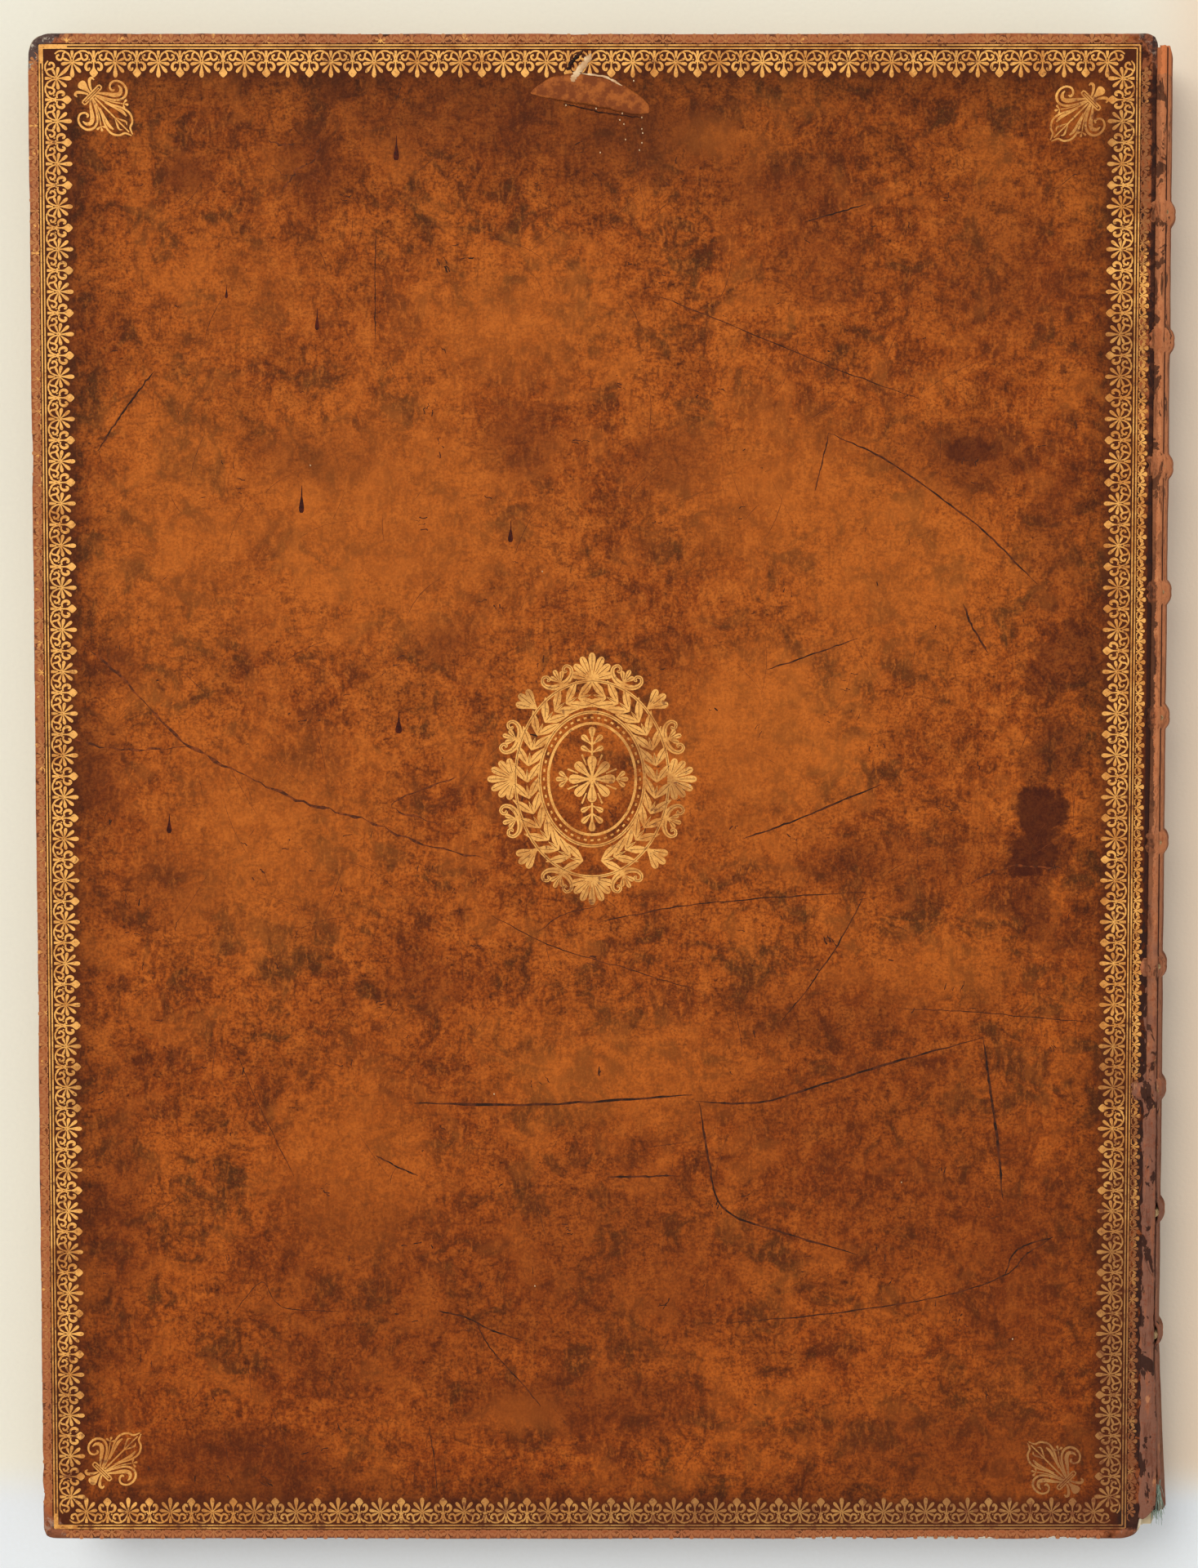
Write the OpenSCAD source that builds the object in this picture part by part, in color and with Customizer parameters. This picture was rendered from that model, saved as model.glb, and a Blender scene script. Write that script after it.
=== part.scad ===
// Large folio bound in brown calf on ten raised bands, lying on its front cover with the
// back cover up: head towards +Y, spine towards +X. The joint of the back cover has cracked
// towards the tail, where the spine leather stands away and green silk shows under it.
// Millimetres. The origin is the middle of the footprint, on the table.

/* [Covers] */
// Height of a cover, head to tail
board_h = 560; // [480:1:620]
// Width of a cover, fore-edge to joint
board_w = 414; // [340:1:460]
// Thickness of the pasteboard
board_t = 3.8; // [3:0.1:6]
// Thickness of the covering leather
leather_t = 1; // [0.8:0.05:1.2]
// Thickness of the pared leather turned in over the edges
turnin_t = 0.5; // [0.3:0.05:0.8]
// Width of the leather turned in over the edges
turnin_w = 18; // [12:0.5:30]
// Thickness of the paper pasted inside a cover
pastedown_t = 0.25; // [0.15:0.05:0.5]
// Overlap of the pasted paper on the turned-in leather
pastedown_lap = 4; // [2:0.5:8]
// Worn radius of the head corner at the fore-edge
corner_fore_head_r = 6; // [2:0.5:12]
// Worn radius of the tail corner at the fore-edge
corner_fore_tail_r = 4; // [2:0.5:12]
// Worn radius of the head corner at the joint
corner_joint_head_r = 4; // [2:0.5:12]
// Worn radius of the tail corner at the joint
corner_joint_tail_r = 7; // [2:0.5:12]
// Softening of the leather along the cover's edges
edge_r = 1.2; // [0.6:0.1:1.6]

/* [Text block] */
// Thickness of the leaves, endleaves included
leaves_t = 24; // [18:0.5:40]
// Thickness of a free endleaf
endleaf_t = 0.3; // [0.2:0.05:0.5]
// Overhang of the covers beyond the leaves
square_w = 4.5; // [3:0.25:8]
// Depth of the hollow fore-edge
fore_hollow = 3.2; // [1:0.1:5]

/* [Spine] */
// Reach of the rounded spine beyond the covers
spine_reach = 7.4; // [6:0.1:10]
// Thickness of the paper lining between the cords
lining_t = 0.4; // [0.2:0.05:0.8]
// Number of raised bands
band_count = 10; // [5:1:12]
// Distance from the head of the covers to the first band
first_band = 65; // [50:0.5:75]
// Distance from the last band to the tail of the covers
last_band = 77.4; // [60:0.1:90]
// Height of a band above the spine
band_rise = 1.8; // [1:0.1:2]
// Radius of the moulded leather over a band
band_r = 4.2; // [3.6:0.1:5]
// Radius of a sewing cord
cord_r = 1.6; // [1.2:0.05:1.7]
// Leather lost from the spine at the head
lost_head = 4.5; // [2:0.5:8]
// Leather lost from the spine at the tail
lost_tail = 10; // [6:0.5:20]
// How far the loose leather has swung out at the tail
flap_lift = 3.4; // [1:0.1:5]

/* [Joints] */
// Width of the groove between a cover and the spine
groove_w = 2.2; // [1.8:0.1:3]
// Depth of the groove below the cover's face
groove_d = 0.8; // [0.6:0.05:1.2]

/* [Lacing] */
// Width of a cord end laced into the board
slip_w = 4; // [3:0.1:6]
// Thickness of a flattened cord end
slip_t = 1.2; // [0.8:0.1:1.6]
// Length of a cord end along the board
slip_len = 15; // [10:0.5:20]
// Radius of a lacing hole
slip_hole_r = 1.5; // [1:0.1:2]
// Radius of the cord end fanned out on the inside
slip_fan_r = 4; // [3:0.1:6]

/* [Gilding] */
// Depth of the tooled impressions
tool_d = 0.15; // [0.1:0.01:0.25]
// Distance of the gilt lines from the fore-edge, head and tail
gilt_margin = 4.6; // [3.5:0.1:8]
// Distance of the gilt lines from the joint
gilt_margin_joint = 7; // [5:0.1:12]
// Width of a gilt line
fillet_w = 0.5; // [0.3:0.05:0.8]
// Distance between the two gilt lines
fillet_gap = 0.7; // [0.4:0.05:1.2]
// Width of the band of palmettes
lace_w = 10.6; // [8:0.1:14]
// Length of one repeat of the palmette roll
lace_pitch = 15.6; // [12:0.1:20]
// Distance of a corner flower's middle from the two edges
flower_inset = 29.5; // [26:0.5:45]
// Length of a corner flower
flower_len = 27; // [20:0.5:30]
// Height of the centre ornament
centre_h = 96; // [70:1:120]
// Width of the centre ornament
centre_w = 74; // [50:1:96]

/* [Hidden] */
$fn = 64;

// Small clearances: between leaves and covers, at the joints, and between glued pieces
leaf_gap = 0.15;
joint_gap = 0.35;
glue_gap = 0.05;
lacing_gap = 0.12;
// Room allowed for a cut that has to run past a face
past = 1;

cover_t = leather_t + board_t + turnin_t + pastedown_t;
book_t = 2 * cover_t + 2 * leaf_gap + leaves_t;
mid_z = book_t / 2;

// Rounded back: one arc from groove to groove, whose centre serves every piece on it
arc_half = mid_z - groove_d;
arc_sag = spine_reach - groove_w;
spine_r = (arc_half * arc_half + arc_sag * arc_sag) / (2 * arc_sag);
lining_r = spine_r - leather_t;
block_r = lining_r - lining_t;
arc_half_angle = asin(arc_half / spine_r);

// Bands and cords are rings about the same centre, and the cords stand a little off the lining
cord_clear = 0.4;
band_ring_r = spine_r + band_rise - band_r;
cord_ring_r = block_r + lining_t + cord_clear;
band_half_angle = arc_half_angle - 5;
cord_half_angle = arc_half_angle - 2;
band_pitch = (board_h - first_band - last_band) / (band_count - 1);
function band_y(i) = board_h / 2 - first_band - (i - 1) * band_pitch;

// The joint has cracked from the third band above the tail
crack_band = max(1, band_count - 2);
spine_y1 = board_h / 2 - lost_head;
spine_y0 = -board_h / 2 + lost_tail;
flap_y1 = band_y(band_count);
flap_len = flap_y1 - spine_y0;
flap_angle = asin(flap_lift / flap_len);
// Width that the loose leather has lost along both its edges
flap_worn = 0.8;

// The loose leather's tail corner is the furthest point from the fore-edge
spine_tip = spine_reach * cos(flap_angle) + flap_len * sin(flap_angle);
full_w = board_w + max(spine_tip, spine_reach + band_rise);
fore_x = -full_w / 2;
joint_x = fore_x + board_w;
arc_x = joint_x + spine_reach - spine_r;

// Faces of a cover, counted down from its outside
board_top = book_t - leather_t;
board_low = board_top - board_t;
turnin_low = board_low - turnin_t;
cover_low = turnin_low - pastedown_t;

// Text block
leaf_x = fore_x + square_w;
leaf_half_h = board_h / 2 - square_w;
leaf_top = cover_low - leaf_gap;
block_top = leaf_top - endleaf_t;
block_half_t = block_top - mid_z;
shoulder_x = joint_x + joint_gap;
shoulder_top = book_t - groove_d - leather_t - glue_gap;
fore_r = (block_half_t * block_half_t + fore_hollow * fore_hollow) / (2 * fore_hollow);

// Frame of the tooling on a cover
gilt_x0 = fore_x + gilt_margin;
gilt_x1 = joint_x - gilt_margin_joint;
gilt_y1 = board_h / 2 - gilt_margin;
lace_clear = 0.6;
lace_inset = 2 * fillet_w + fillet_gap + lace_clear;
lace_x0 = gilt_x0 + lace_inset;
lace_x1 = gilt_x1 - lace_inset;
lace_y1 = gilt_y1 - lace_inset;
lace_base = 1;
tool_clear = 0.4;
cover_mid_x = (fore_x + joint_x) / 2;

// Shapes of the ornaments: the low and high points of a palmette are parts of the pitch and of
// the roll's width, and the others are parts of the ornament's own size
palmette_foot = 0.08;
palmette_low = [0.3, 0.42];
palmette_high = [0.2, 0.76];
bud_foot = 0.12;
bud_tall = 0.6;
corner_scale = 1.15;
fan_taper = 0.09;
oval_end = 0.62;

// Place of the silk along the rounded back, and how much of it the leather hides
silk_angle = 22;
silk_hidden = 5;

function cord_name(i) = str("sewing_cord_", i < 10 ? "0" : "", i);

// Runs an outline drawn in X and Z along the book from y0 to y1
module along_y(y0, y1) {
    translate([0, y1, 0]) rotate([90, 0, 0]) linear_extrude(y1 - y0) children();
}

// Ring about the centre of the rounded back, at height y along the spine
module spine_ring(ring_r, wire_r, half_angle, y) {
    translate([arc_x, y, mid_z])
        rotate([90, 0, 0])
            rotate([0, 0, -half_angle])
                rotate_extrude(angle = 2 * half_angle) translate([ring_r, 0]) circle(wire_r);
}

// Turns a piece of the back cover over to make the front cover's
module turned_over() {
    translate([0, 0, book_t]) mirror([0, 0, 1]) children();
}

// Rounds one corner of an outline: the corner's place, and which way it points
module corner_cut(x, y, x_way, y_way, r) {
    translate([x, y]) difference() {
        translate([min(0, -x_way * r), min(0, -y_way * r)]) square(r);
        translate([-x_way * r, -y_way * r]) circle(r);
    }
}

// Outline of a cover from above, taken in by some amount on its three turned-in edges
module cover_outline(inset, joint_inset) {
    x0 = fore_x + inset;
    x1 = joint_x - joint_inset;
    y1 = board_h / 2 - inset;
    difference() {
        translate([x0, -y1]) square([x1 - x0, 2 * y1]);
        corner_cut(x0, y1, -1, 1, corner_fore_head_r - inset / 2);
        corner_cut(x0, -y1, -1, -1, corner_fore_tail_r - inset / 2);
        corner_cut(x1, y1, 1, 1, corner_joint_head_r - inset / 2);
        corner_cut(x1, -y1, 1, -1, corner_joint_tail_r - inset / 2);
    }
}

// Rectangle whose outer edges are softened, for the covers' cross-sections
module soft_section(u0, u1, v0, v1, r) {
    difference() {
        translate([u0, v0]) square([u1 - u0, v1 - v0]);
        corner_cut(u0, v1, -1, 1, r);
        corner_cut(u1, v1, 1, 1, r);
        corner_cut(u0, v0, -1, -1, r / 2);
    }
}

// A cover as a solid, softened along its edges and worn round at its corners
module cover_form() {
    half_h = board_h / 2;
    intersection() {
        translate([0, 0, turnin_low]) linear_extrude(book_t - turnin_low) cover_outline(0, 0);
        along_y(-half_h, half_h) soft_section(fore_x, joint_x, turnin_low, book_t, edge_r);
        translate([fore_x, 0, 0])
            rotate([90, 0, 90])
                linear_extrude(board_w) soft_section(-half_h, half_h, turnin_low, book_t, edge_r);
    }
}

// Opening of the turned-in leather on the inside of a cover
module turnin_window(clear) {
    x0 = fore_x + turnin_w + clear;
    y1 = board_h / 2 - turnin_w - clear;
    translate([x0, -y1]) square([joint_x - leather_t - x0, 2 * y1]);
}

// Bar, hole and fan that one laced cord end fills, grown by clear
module slip_form(i, clear) {
    x1 = joint_x - leather_t - lacing_gap + clear;
    x0 = joint_x - slip_len;
    translate([x0, band_y(i) - slip_w / 2 - clear, board_top - slip_t - clear])
        cube([x1 - x0, slip_w + 2 * clear, slip_t + clear]);
    translate([x0, band_y(i), turnin_low])
        cylinder(r = slip_hole_r + clear, h = board_top - turnin_low);
    translate([x0, band_y(i), turnin_low])
        cylinder(r = slip_fan_r + clear, h = turnin_t + clear);
}

module cover_board() {
    color("tan") difference() {
        union() {
            translate([0, 0, board_low])
                linear_extrude(board_t) cover_outline(leather_t, leather_t);
            translate([0, 0, turnin_low]) linear_extrude(turnin_t + past) turnin_window(glue_gap);
        }
        for (i = [1 : band_count]) {
            slip_form(i, lacing_gap);
            translate([joint_x - slip_len, band_y(i), turnin_low - past])
                cylinder(r = slip_fan_r + lacing_gap, h = past + turnin_t);
        }
    }
}

module cover_lacing() {
    color("wheat") for (i = [1 : band_count]) slip_form(i, 0);
}

module cover_leather() {
    color("saddlebrown") difference() {
        cover_form();
        translate([0, 0, board_low]) linear_extrude(board_t) cover_outline(leather_t, leather_t);
        translate([0, 0, turnin_low - past])
            linear_extrude(past + turnin_t + past) turnin_window(0);
        translate([0, 0, book_t - tool_d]) linear_extrude(past) {
            lace_frame();
            corner_places() circle(flower_len / 2 + 1);
            translate([cover_mid_x, 0]) oval(centre_w / 2 + 1, centre_h / 2 + 1);
        }
    }
}

module cover_pastedown() {
    x0 = fore_x + turnin_w - pastedown_lap;
    y1 = board_h / 2 - turnin_w + pastedown_lap;
    color("peru") translate([x0, -y1, cover_low])
        cube([joint_x - leather_t - x0, 2 * y1, pastedown_t]);
}

// Band between the outer gilt line and the tips of the palmettes
module lace_frame() {
    inner = lace_inset + lace_w + tool_clear;
    difference() {
        translate([gilt_x0, -gilt_y1]) square([gilt_x1 - gilt_x0, 2 * gilt_y1]);
        translate([gilt_x0 + inner, -gilt_y1 + inner])
            square([gilt_x1 - gilt_x0 - 2 * inner, 2 * (gilt_y1 - inner)]);
    }
}

// Places the corner flower in the four corners, pointing at the middle of the cover
module corner_places() {
    for (side = [-1, 1], end = [-1, 1]) {
        x = side < 0 ? fore_x + flower_inset : joint_x - flower_inset;
        translate([x, end * (board_h / 2 - flower_inset)])
            rotate(atan2(-end, -side)) children();
    }
}

// Oval made of arcs that meet smoothly: half width a, half height b
module oval(a, b) {
    end_r = a * oval_end;
    side_r = end_r + ((b - end_r) * (b - end_r) + (a - end_r) * (a - end_r)) / (2 * (a - end_r));
    reach = side_r - a;
    meet = side_r / (side_r - end_r);
    intersection() {
        translate([-reach, 0]) circle(side_r);
        translate([reach, 0]) circle(side_r);
        square([2 * a, 2 * (b - end_r) * meet], center = true);
    }
    for (end = [-1, 1]) translate([0, end * (b - end_r)]) circle(end_r);
}

// Drop-shaped petal from the origin along +X
module petal(length, width) {
    r = width / 2;
    translate([length - r, 0]) circle(r);
    polygon([[0, 0], [length - r, r], [length - r, -r]]);
}

// Fan of petals round the origin, the middle one along +X
module fan(length, width, step, pairs) {
    for (k = [-pairs : pairs]) rotate(k * step) petal(length * (1 - fan_taper * abs(k)), width);
}

// Outline of one palmette standing at x on the roll's base strip, from left to right
function palmette(x, p) = [
    [x - palmette_foot * p, lace_base], [x - palmette_low.x * p, palmette_low.y * lace_w],
    [x - palmette_high.x * p, palmette_high.y * lace_w], [x, lace_w],
    [x + palmette_high.x * p, palmette_high.y * lace_w],
    [x + palmette_low.x * p, palmette_low.y * lace_w], [x + palmette_foot * p, lace_base]
];

// Outline of one bud between two palmettes
function bud(x, p) = [[x - bud_foot * p, lace_base], [x, bud_tall * lace_w], [x + bud_foot * p, lace_base]];

// One straight side of the palmette roll, from the origin along +X, pointing to +Y
module lace_side(length) {
    repeats = round(length / lace_pitch);
    p = length / repeats;
    ornaments = [
        for (i = [1 : repeats - 1])
            each concat(bud(i * p, p), i < repeats - 1 ? palmette((i + 0.5) * p, p) : [])
    ];
    far = [[length - lace_base, lace_base], [length, 0]];
    polygon(concat([[0, 0], [lace_base, lace_base]], ornaments, far));
}

// Palmette that fills a corner of the roll, pointing at the middle of the cover
module lace_corner() {
    rotate(-45) scale(corner_scale) polygon(concat([[0, 0]], palmette(0, lace_pitch)));
}

// A side of the palmette roll with the corner that it starts from
module lace_run(length) {
    lace_side(length);
    lace_corner();
}

// Two gilt lines round the cover
module fillets() {
    for (inset = [0, fillet_w + fillet_gap]) difference() {
        translate([gilt_x0 + inset, -gilt_y1 + inset])
            square([gilt_x1 - gilt_x0 - 2 * inset, 2 * (gilt_y1 - inset)]);
        translate([gilt_x0 + inset + fillet_w, -gilt_y1 + inset + fillet_w])
            square([gilt_x1 - gilt_x0 - 2 * (inset + fillet_w), 2 * (gilt_y1 - inset - fillet_w)]);
    }
}

// Lily tooled in a corner, its tip along +X
module corner_flower() {
    leaf = flower_len / 2;
    curl_r = leaf * 0.38;
    curl_hole_r = leaf * 0.2;
    curl_at = [-leaf * 0.1, leaf * 0.42];
    foot_turn = 145;
    foot = [leaf * 0.62, leaf * 0.26];
    stem = [leaf * 0.95, leaf * 0.34];
    tie = [leaf * 0.24, leaf * 0.8];
    tie_x = -leaf * 0.3;
    petal(leaf, leaf / 2);
    for (way = [-1, 1]) {
        translate([curl_at.x, way * curl_at.y]) difference() {
            circle(curl_r);
            circle(curl_hole_r);
        }
        rotate(way * foot_turn) petal(foot.x, foot.y);
    }
    translate([tie_x, 0]) square(tie, center = true);
    rotate(180) petal(stem.x, stem.y);
}

// Oval medallion: two rings, a wreath of leaves, a rosette and a fan at each end
module centre_ornament() {
    a = centre_w / 2;
    b = centre_h / 2;
    leaves = 20;
    rim_w = 1;
    rims = [0.74, 0.5];
    wreath = 0.76;
    leaf = [a * 0.22, a * 0.13];
    end_fan = [b * 0.22, b * 0.07];
    end_fan_y = b * 0.52;
    rosette = [a * 0.34, a * 0.13];
    for (rim = rims) difference() {
        oval(a * rim, b * rim);
        oval(a * rim - rim_w, b * rim - rim_w);
    }
    for (i = [0 : leaves - 1]) {
        turn = i * 360 / leaves;
        translate([a * wreath * cos(turn), b * wreath * sin(turn)])
            rotate(atan2(b * sin(turn), a * cos(turn))) petal(leaf.x, leaf.y);
    }
    for (end = [-1, 1]) translate([0, end * end_fan_y]) rotate(end * 90) fan(end_fan.x, end_fan.y, 30, 2);
    fan(rosette.x, rosette.y, 45, 4);
}

module cover_gilding() {
    width = lace_x1 - lace_x0;
    color("gold") translate([0, 0, book_t - tool_d]) linear_extrude(tool_d) {
        fillets();
        translate([lace_x0, -lace_y1]) lace_run(width);
        translate([lace_x1, lace_y1]) rotate(180) lace_run(width);
        translate([lace_x1, -lace_y1]) rotate(90) lace_run(2 * lace_y1);
        translate([lace_x0, lace_y1]) rotate(-90) lace_run(2 * lace_y1);
        corner_places() corner_flower();
        translate([cover_mid_x, 0]) centre_ornament();
    }
}

// Sewn leaves: hollow fore-edge, and a back rounded out over the covers' edges
module text_block() {
    color("antiquewhite") difference() {
        along_y(-leaf_half_h, leaf_half_h) {
            difference() {
                translate([leaf_x, mid_z - block_half_t])
                    square([shoulder_x + past - leaf_x, 2 * block_half_t]);
                translate([leaf_x + fore_hollow - fore_r, mid_z]) circle(fore_r);
            }
            intersection() {
                translate([arc_x, mid_z]) circle(block_r);
                translate([shoulder_x, book_t - shoulder_top])
                    square([spine_r, 2 * shoulder_top - book_t]);
            }
        }
        for (i = [1 : band_count])
            spine_ring(cord_ring_r, cord_r + glue_gap, arc_half_angle + 20, band_y(i));
    }
}

// Free endleaf on the side of the back cover
module endleaf() {
    color("peru") translate([leaf_x, -leaf_half_h, block_top])
        cube([shoulder_x - glue_gap - leaf_x, 2 * leaf_half_h, endleaf_t]);
}

module sewing_cord(i) {
    color("wheat") spine_ring(cord_ring_r, cord_r, cord_half_angle, band_y(i));
}

// Paper pasted on the back between the cords
module spine_lining() {
    cord_room = 0.6;
    clear = cord_r + glue_gap + cord_room;
    module panel(y0, y1) along_y(y0, y1) intersection() {
        translate([arc_x, mid_z]) difference() {
            circle(lining_r - glue_gap);
            circle(block_r + glue_gap);
        }
        translate([shoulder_x + past, book_t - shoulder_top + past])
            square([spine_r, 2 * (shoulder_top - past) - book_t]);
    }
    color("ivory") {
        panel(band_y(1) + clear, leaf_half_h - lost_head);
        for (i = [1 : band_count - 1]) panel(band_y(i + 1) + clear, band_y(i) - clear);
        panel(-leaf_half_h + lost_tail, band_y(band_count) - clear);
    }
}

// Leather over the rounded back, as an outline in X and Z that stops this far from both faces
module spine_skin(edge) {
    intersection() {
        translate([arc_x, mid_z]) difference() {
            circle(spine_r);
            circle(lining_r);
        }
        translate([joint_x + groove_w - 1, edge]) square([spine_r, book_t - 2 * edge]);
    }
}

// Leather in the bottom of the back cover's groove, as an outline in X and Z
module groove_lip() {
    intersection() {
        translate([shoulder_x, book_t - groove_d - leather_t]) square([groove_w, leather_t]);
        translate([arc_x, mid_z]) circle(spine_r);
    }
}

module spine_leather() {
    color("peru") difference() {
        union() {
            along_y(flap_y1, spine_y1) spine_skin(groove_d);
            along_y(band_y(crack_band), spine_y1) groove_lip();
            along_y(flap_y1, spine_y1) turned_over_outline() groove_lip();
            translate([joint_x, flap_y1, 0])
                rotate([0, 0, flap_angle])
                    translate([-joint_x, -flap_y1, 0])
                        along_y(spine_y0, flap_y1 + band_r / 2) spine_skin(groove_d + flap_worn);
            for (i = [1 : band_count]) difference() {
                spine_ring(band_ring_r, band_r, band_half_angle, band_y(i));
                along_y(band_y(i) - band_r - past, band_y(i) + band_r + past)
                    translate([arc_x, mid_z]) circle(lining_r);
            }
        }
        for (i = [1 : band_count])
            spine_ring(cord_ring_r, cord_r + glue_gap, arc_half_angle + 20, band_y(i));
    }
}

// The same outline turned over to the front cover's side
module turned_over_outline() {
    translate([0, book_t]) mirror([0, 1]) children();
}

// Stub of the silk headband lost from the tail, with its threads frayed out towards the tail
module tail_silk() {
    thread_r = 0.3;
    thread_pitch = 0.9;
    threads = 7;
    fray = 3;
    thread_len = 8;
    thread_step = 1.3;
    stub_x = 1;
    stub_y = 2.4;
    stub_z = threads * thread_pitch;
    color("seagreen") translate([arc_x, spine_y0 + silk_hidden, mid_z])
        rotate([0, -silk_angle, 0])
            translate([lining_r + glue_gap + stub_x / 2, 0, 0]) {
                cube([stub_x, stub_y, stub_z], center = true);
                for (k = [0 : threads - 1])
                    translate([0, 0, (k - (threads - 1) / 2) * thread_pitch])
                        rotate([90 - (k - (threads - 1) / 2) * fray, 0, 0])
                            cylinder(r = thread_r, h = thread_len + thread_step * ((k * 3) % 4));
            }
}

text_block();
endleaf();  // back_endleaf
turned_over() endleaf();  // front_endleaf
spine_lining();
spine_leather();
tail_silk();
for (i = [1 : band_count]) sewing_cord(i);
cover_board();  // back_board
cover_leather();  // back_leather
cover_pastedown();  // back_pastedown
cover_lacing();  // back_lacing
cover_gilding();  // back_gilding
turned_over() cover_board();  // front_board
turned_over() cover_leather();  // front_leather
turned_over() cover_pastedown();  // front_pastedown
turned_over() cover_lacing();  // front_lacing
turned_over() cover_gilding();  // front_gilding
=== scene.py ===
# %% [markdown]
# # An antique folio in worn brown calf
# The book lies on its front cover, back cover up, and is seen from almost straight above. The packed
# model gives every place, so each piece here starts from the boxes of its nodes. Lengths in
# this script are millimetres, as on a bookbinder's bench, and are turned into metres at the end.

# %% The frame
import math
import random

import bmesh
import bpy
from mathutils import Matrix, Vector, noise


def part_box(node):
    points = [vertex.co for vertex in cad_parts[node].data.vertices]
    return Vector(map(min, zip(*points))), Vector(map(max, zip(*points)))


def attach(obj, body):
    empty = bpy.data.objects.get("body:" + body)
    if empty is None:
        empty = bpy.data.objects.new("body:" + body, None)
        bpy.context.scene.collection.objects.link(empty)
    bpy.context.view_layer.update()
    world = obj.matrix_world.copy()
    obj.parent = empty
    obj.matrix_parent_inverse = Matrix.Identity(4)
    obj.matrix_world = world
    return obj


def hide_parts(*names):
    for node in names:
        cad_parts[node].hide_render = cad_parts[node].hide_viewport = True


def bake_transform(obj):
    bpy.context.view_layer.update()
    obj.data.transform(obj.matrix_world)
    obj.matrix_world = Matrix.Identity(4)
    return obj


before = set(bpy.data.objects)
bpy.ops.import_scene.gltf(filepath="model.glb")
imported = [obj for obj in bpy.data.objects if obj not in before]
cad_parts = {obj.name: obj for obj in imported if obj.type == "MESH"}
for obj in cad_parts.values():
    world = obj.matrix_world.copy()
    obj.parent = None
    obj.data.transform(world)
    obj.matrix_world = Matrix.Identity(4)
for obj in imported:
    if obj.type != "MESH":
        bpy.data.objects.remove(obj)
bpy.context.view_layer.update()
MM = 0.001
cover_low, cover_high = [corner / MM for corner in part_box("back_leather")]
FORE_X, JOINT_X = cover_low.x, cover_high.x
HEAD_Y = cover_high.y
TOP_Z = cover_high.z
MIDDLE_X, MIDDLE_Z = (FORE_X + JOINT_X) / 2, TOP_Z / 2
print("cover from", FORE_X, "to", JOINT_X, "half height", HEAD_Y, "thickness", TOP_Z)

# %% [markdown]
# The photograph looks down on the book from a little over a metre, leaning slightly, so the head
# looks wider than the tail. A camera at that height with that lean puts every mark of the
# leather where it was seen: the helper `seen_at` runs a ray through a point of the photograph.

# %% The camera, and where a point of the photograph lies on the cover
PHOTO_W, PHOTO_H = 1467, 1920
CAMERA_HEIGHT = 1250.0
CAMERA_LEAN = math.radians(3.7)
MM_PER_PIXEL = 0.3024
# The point of the cover that lies in the middle of the picture
AIM = Vector((FORE_X + 209.2, 4.9, TOP_Z))
SENSOR = 36.0
HEAD_CORNER_SEEN = (45, 46)

camera_data = bpy.data.cameras.new("camera")
camera = bpy.data.objects.new("camera", camera_data)
bpy.context.scene.collection.objects.link(camera)
bpy.context.scene.camera = camera
camera_data.sensor_fit = "VERTICAL"
camera_data.sensor_height = SENSOR
camera_data.lens = SENSOR * CAMERA_HEIGHT / (MM_PER_PIXEL * PHOTO_H)
lean = Matrix.Rotation(-CAMERA_LEAN, 4, "X")
eye = AIM + lean @ Vector((0, 0, CAMERA_HEIGHT))
camera.matrix_world = Matrix.Translation(eye * MM) @ lean


def seen_at(px, py):
    """The point of the cover's face that the photograph shows at pixel px, py."""
    right = (px - PHOTO_W / 2) / PHOTO_H * SENSOR
    up = (PHOTO_H / 2 - py) / PHOTO_H * SENSOR
    ray = lean @ Vector((right, up, -camera_data.lens))
    return (eye + ray * ((TOP_Z - eye.z) / ray.z)).to_2d()


print("lens", round(camera_data.lens, 2), "head corner lies at", seen_at(*HEAD_CORNER_SEEN))

# %% [markdown]
# ## Shader sums
# A procedural leather is mostly arithmetic on the place of a point. Wiring that by hand hides
# the idea, so a small class lets a node's output be added, multiplied and compared in Python.

# %% A colour, and a number that lives in a shader
def srgb(red, green, blue):
    """A colour as a paint chart gives it, turned into the linear values that the nodes use."""
    def linear(level):
        level /= 255
        return level / 12.92 if level <= 0.04045 else ((level + 0.055) / 1.055) ** 2.4
    return (linear(red), linear(green), linear(blue), 1.0)


class Number:
    """An output socket that can be used in sums."""

    def __init__(self, recipe, socket):
        self.recipe = recipe
        self.socket = socket

    def __add__(self, other):
        return self.recipe.sum("ADD", self, other)

    def __sub__(self, other):
        return self.recipe.sum("SUBTRACT", self, other)

    def __rsub__(self, other):
        return self.recipe.sum("SUBTRACT", other, self)

    def __mul__(self, other):
        return self.recipe.sum("MULTIPLY", self, other)

    def __truediv__(self, other):
        return self.recipe.sum("DIVIDE", self, other)

    __radd__ = __add__
    __rmul__ = __mul__


print("middle grey in linear values:", round(srgb(128, 128, 128)[0], 3))

# %% The recipe of a material
# The places of the sockets of a Mix node that mixes colours
MIX_FACTOR, MIX_FIRST, MIX_SECOND, MIXED = 0, 6, 7, 2


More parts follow.
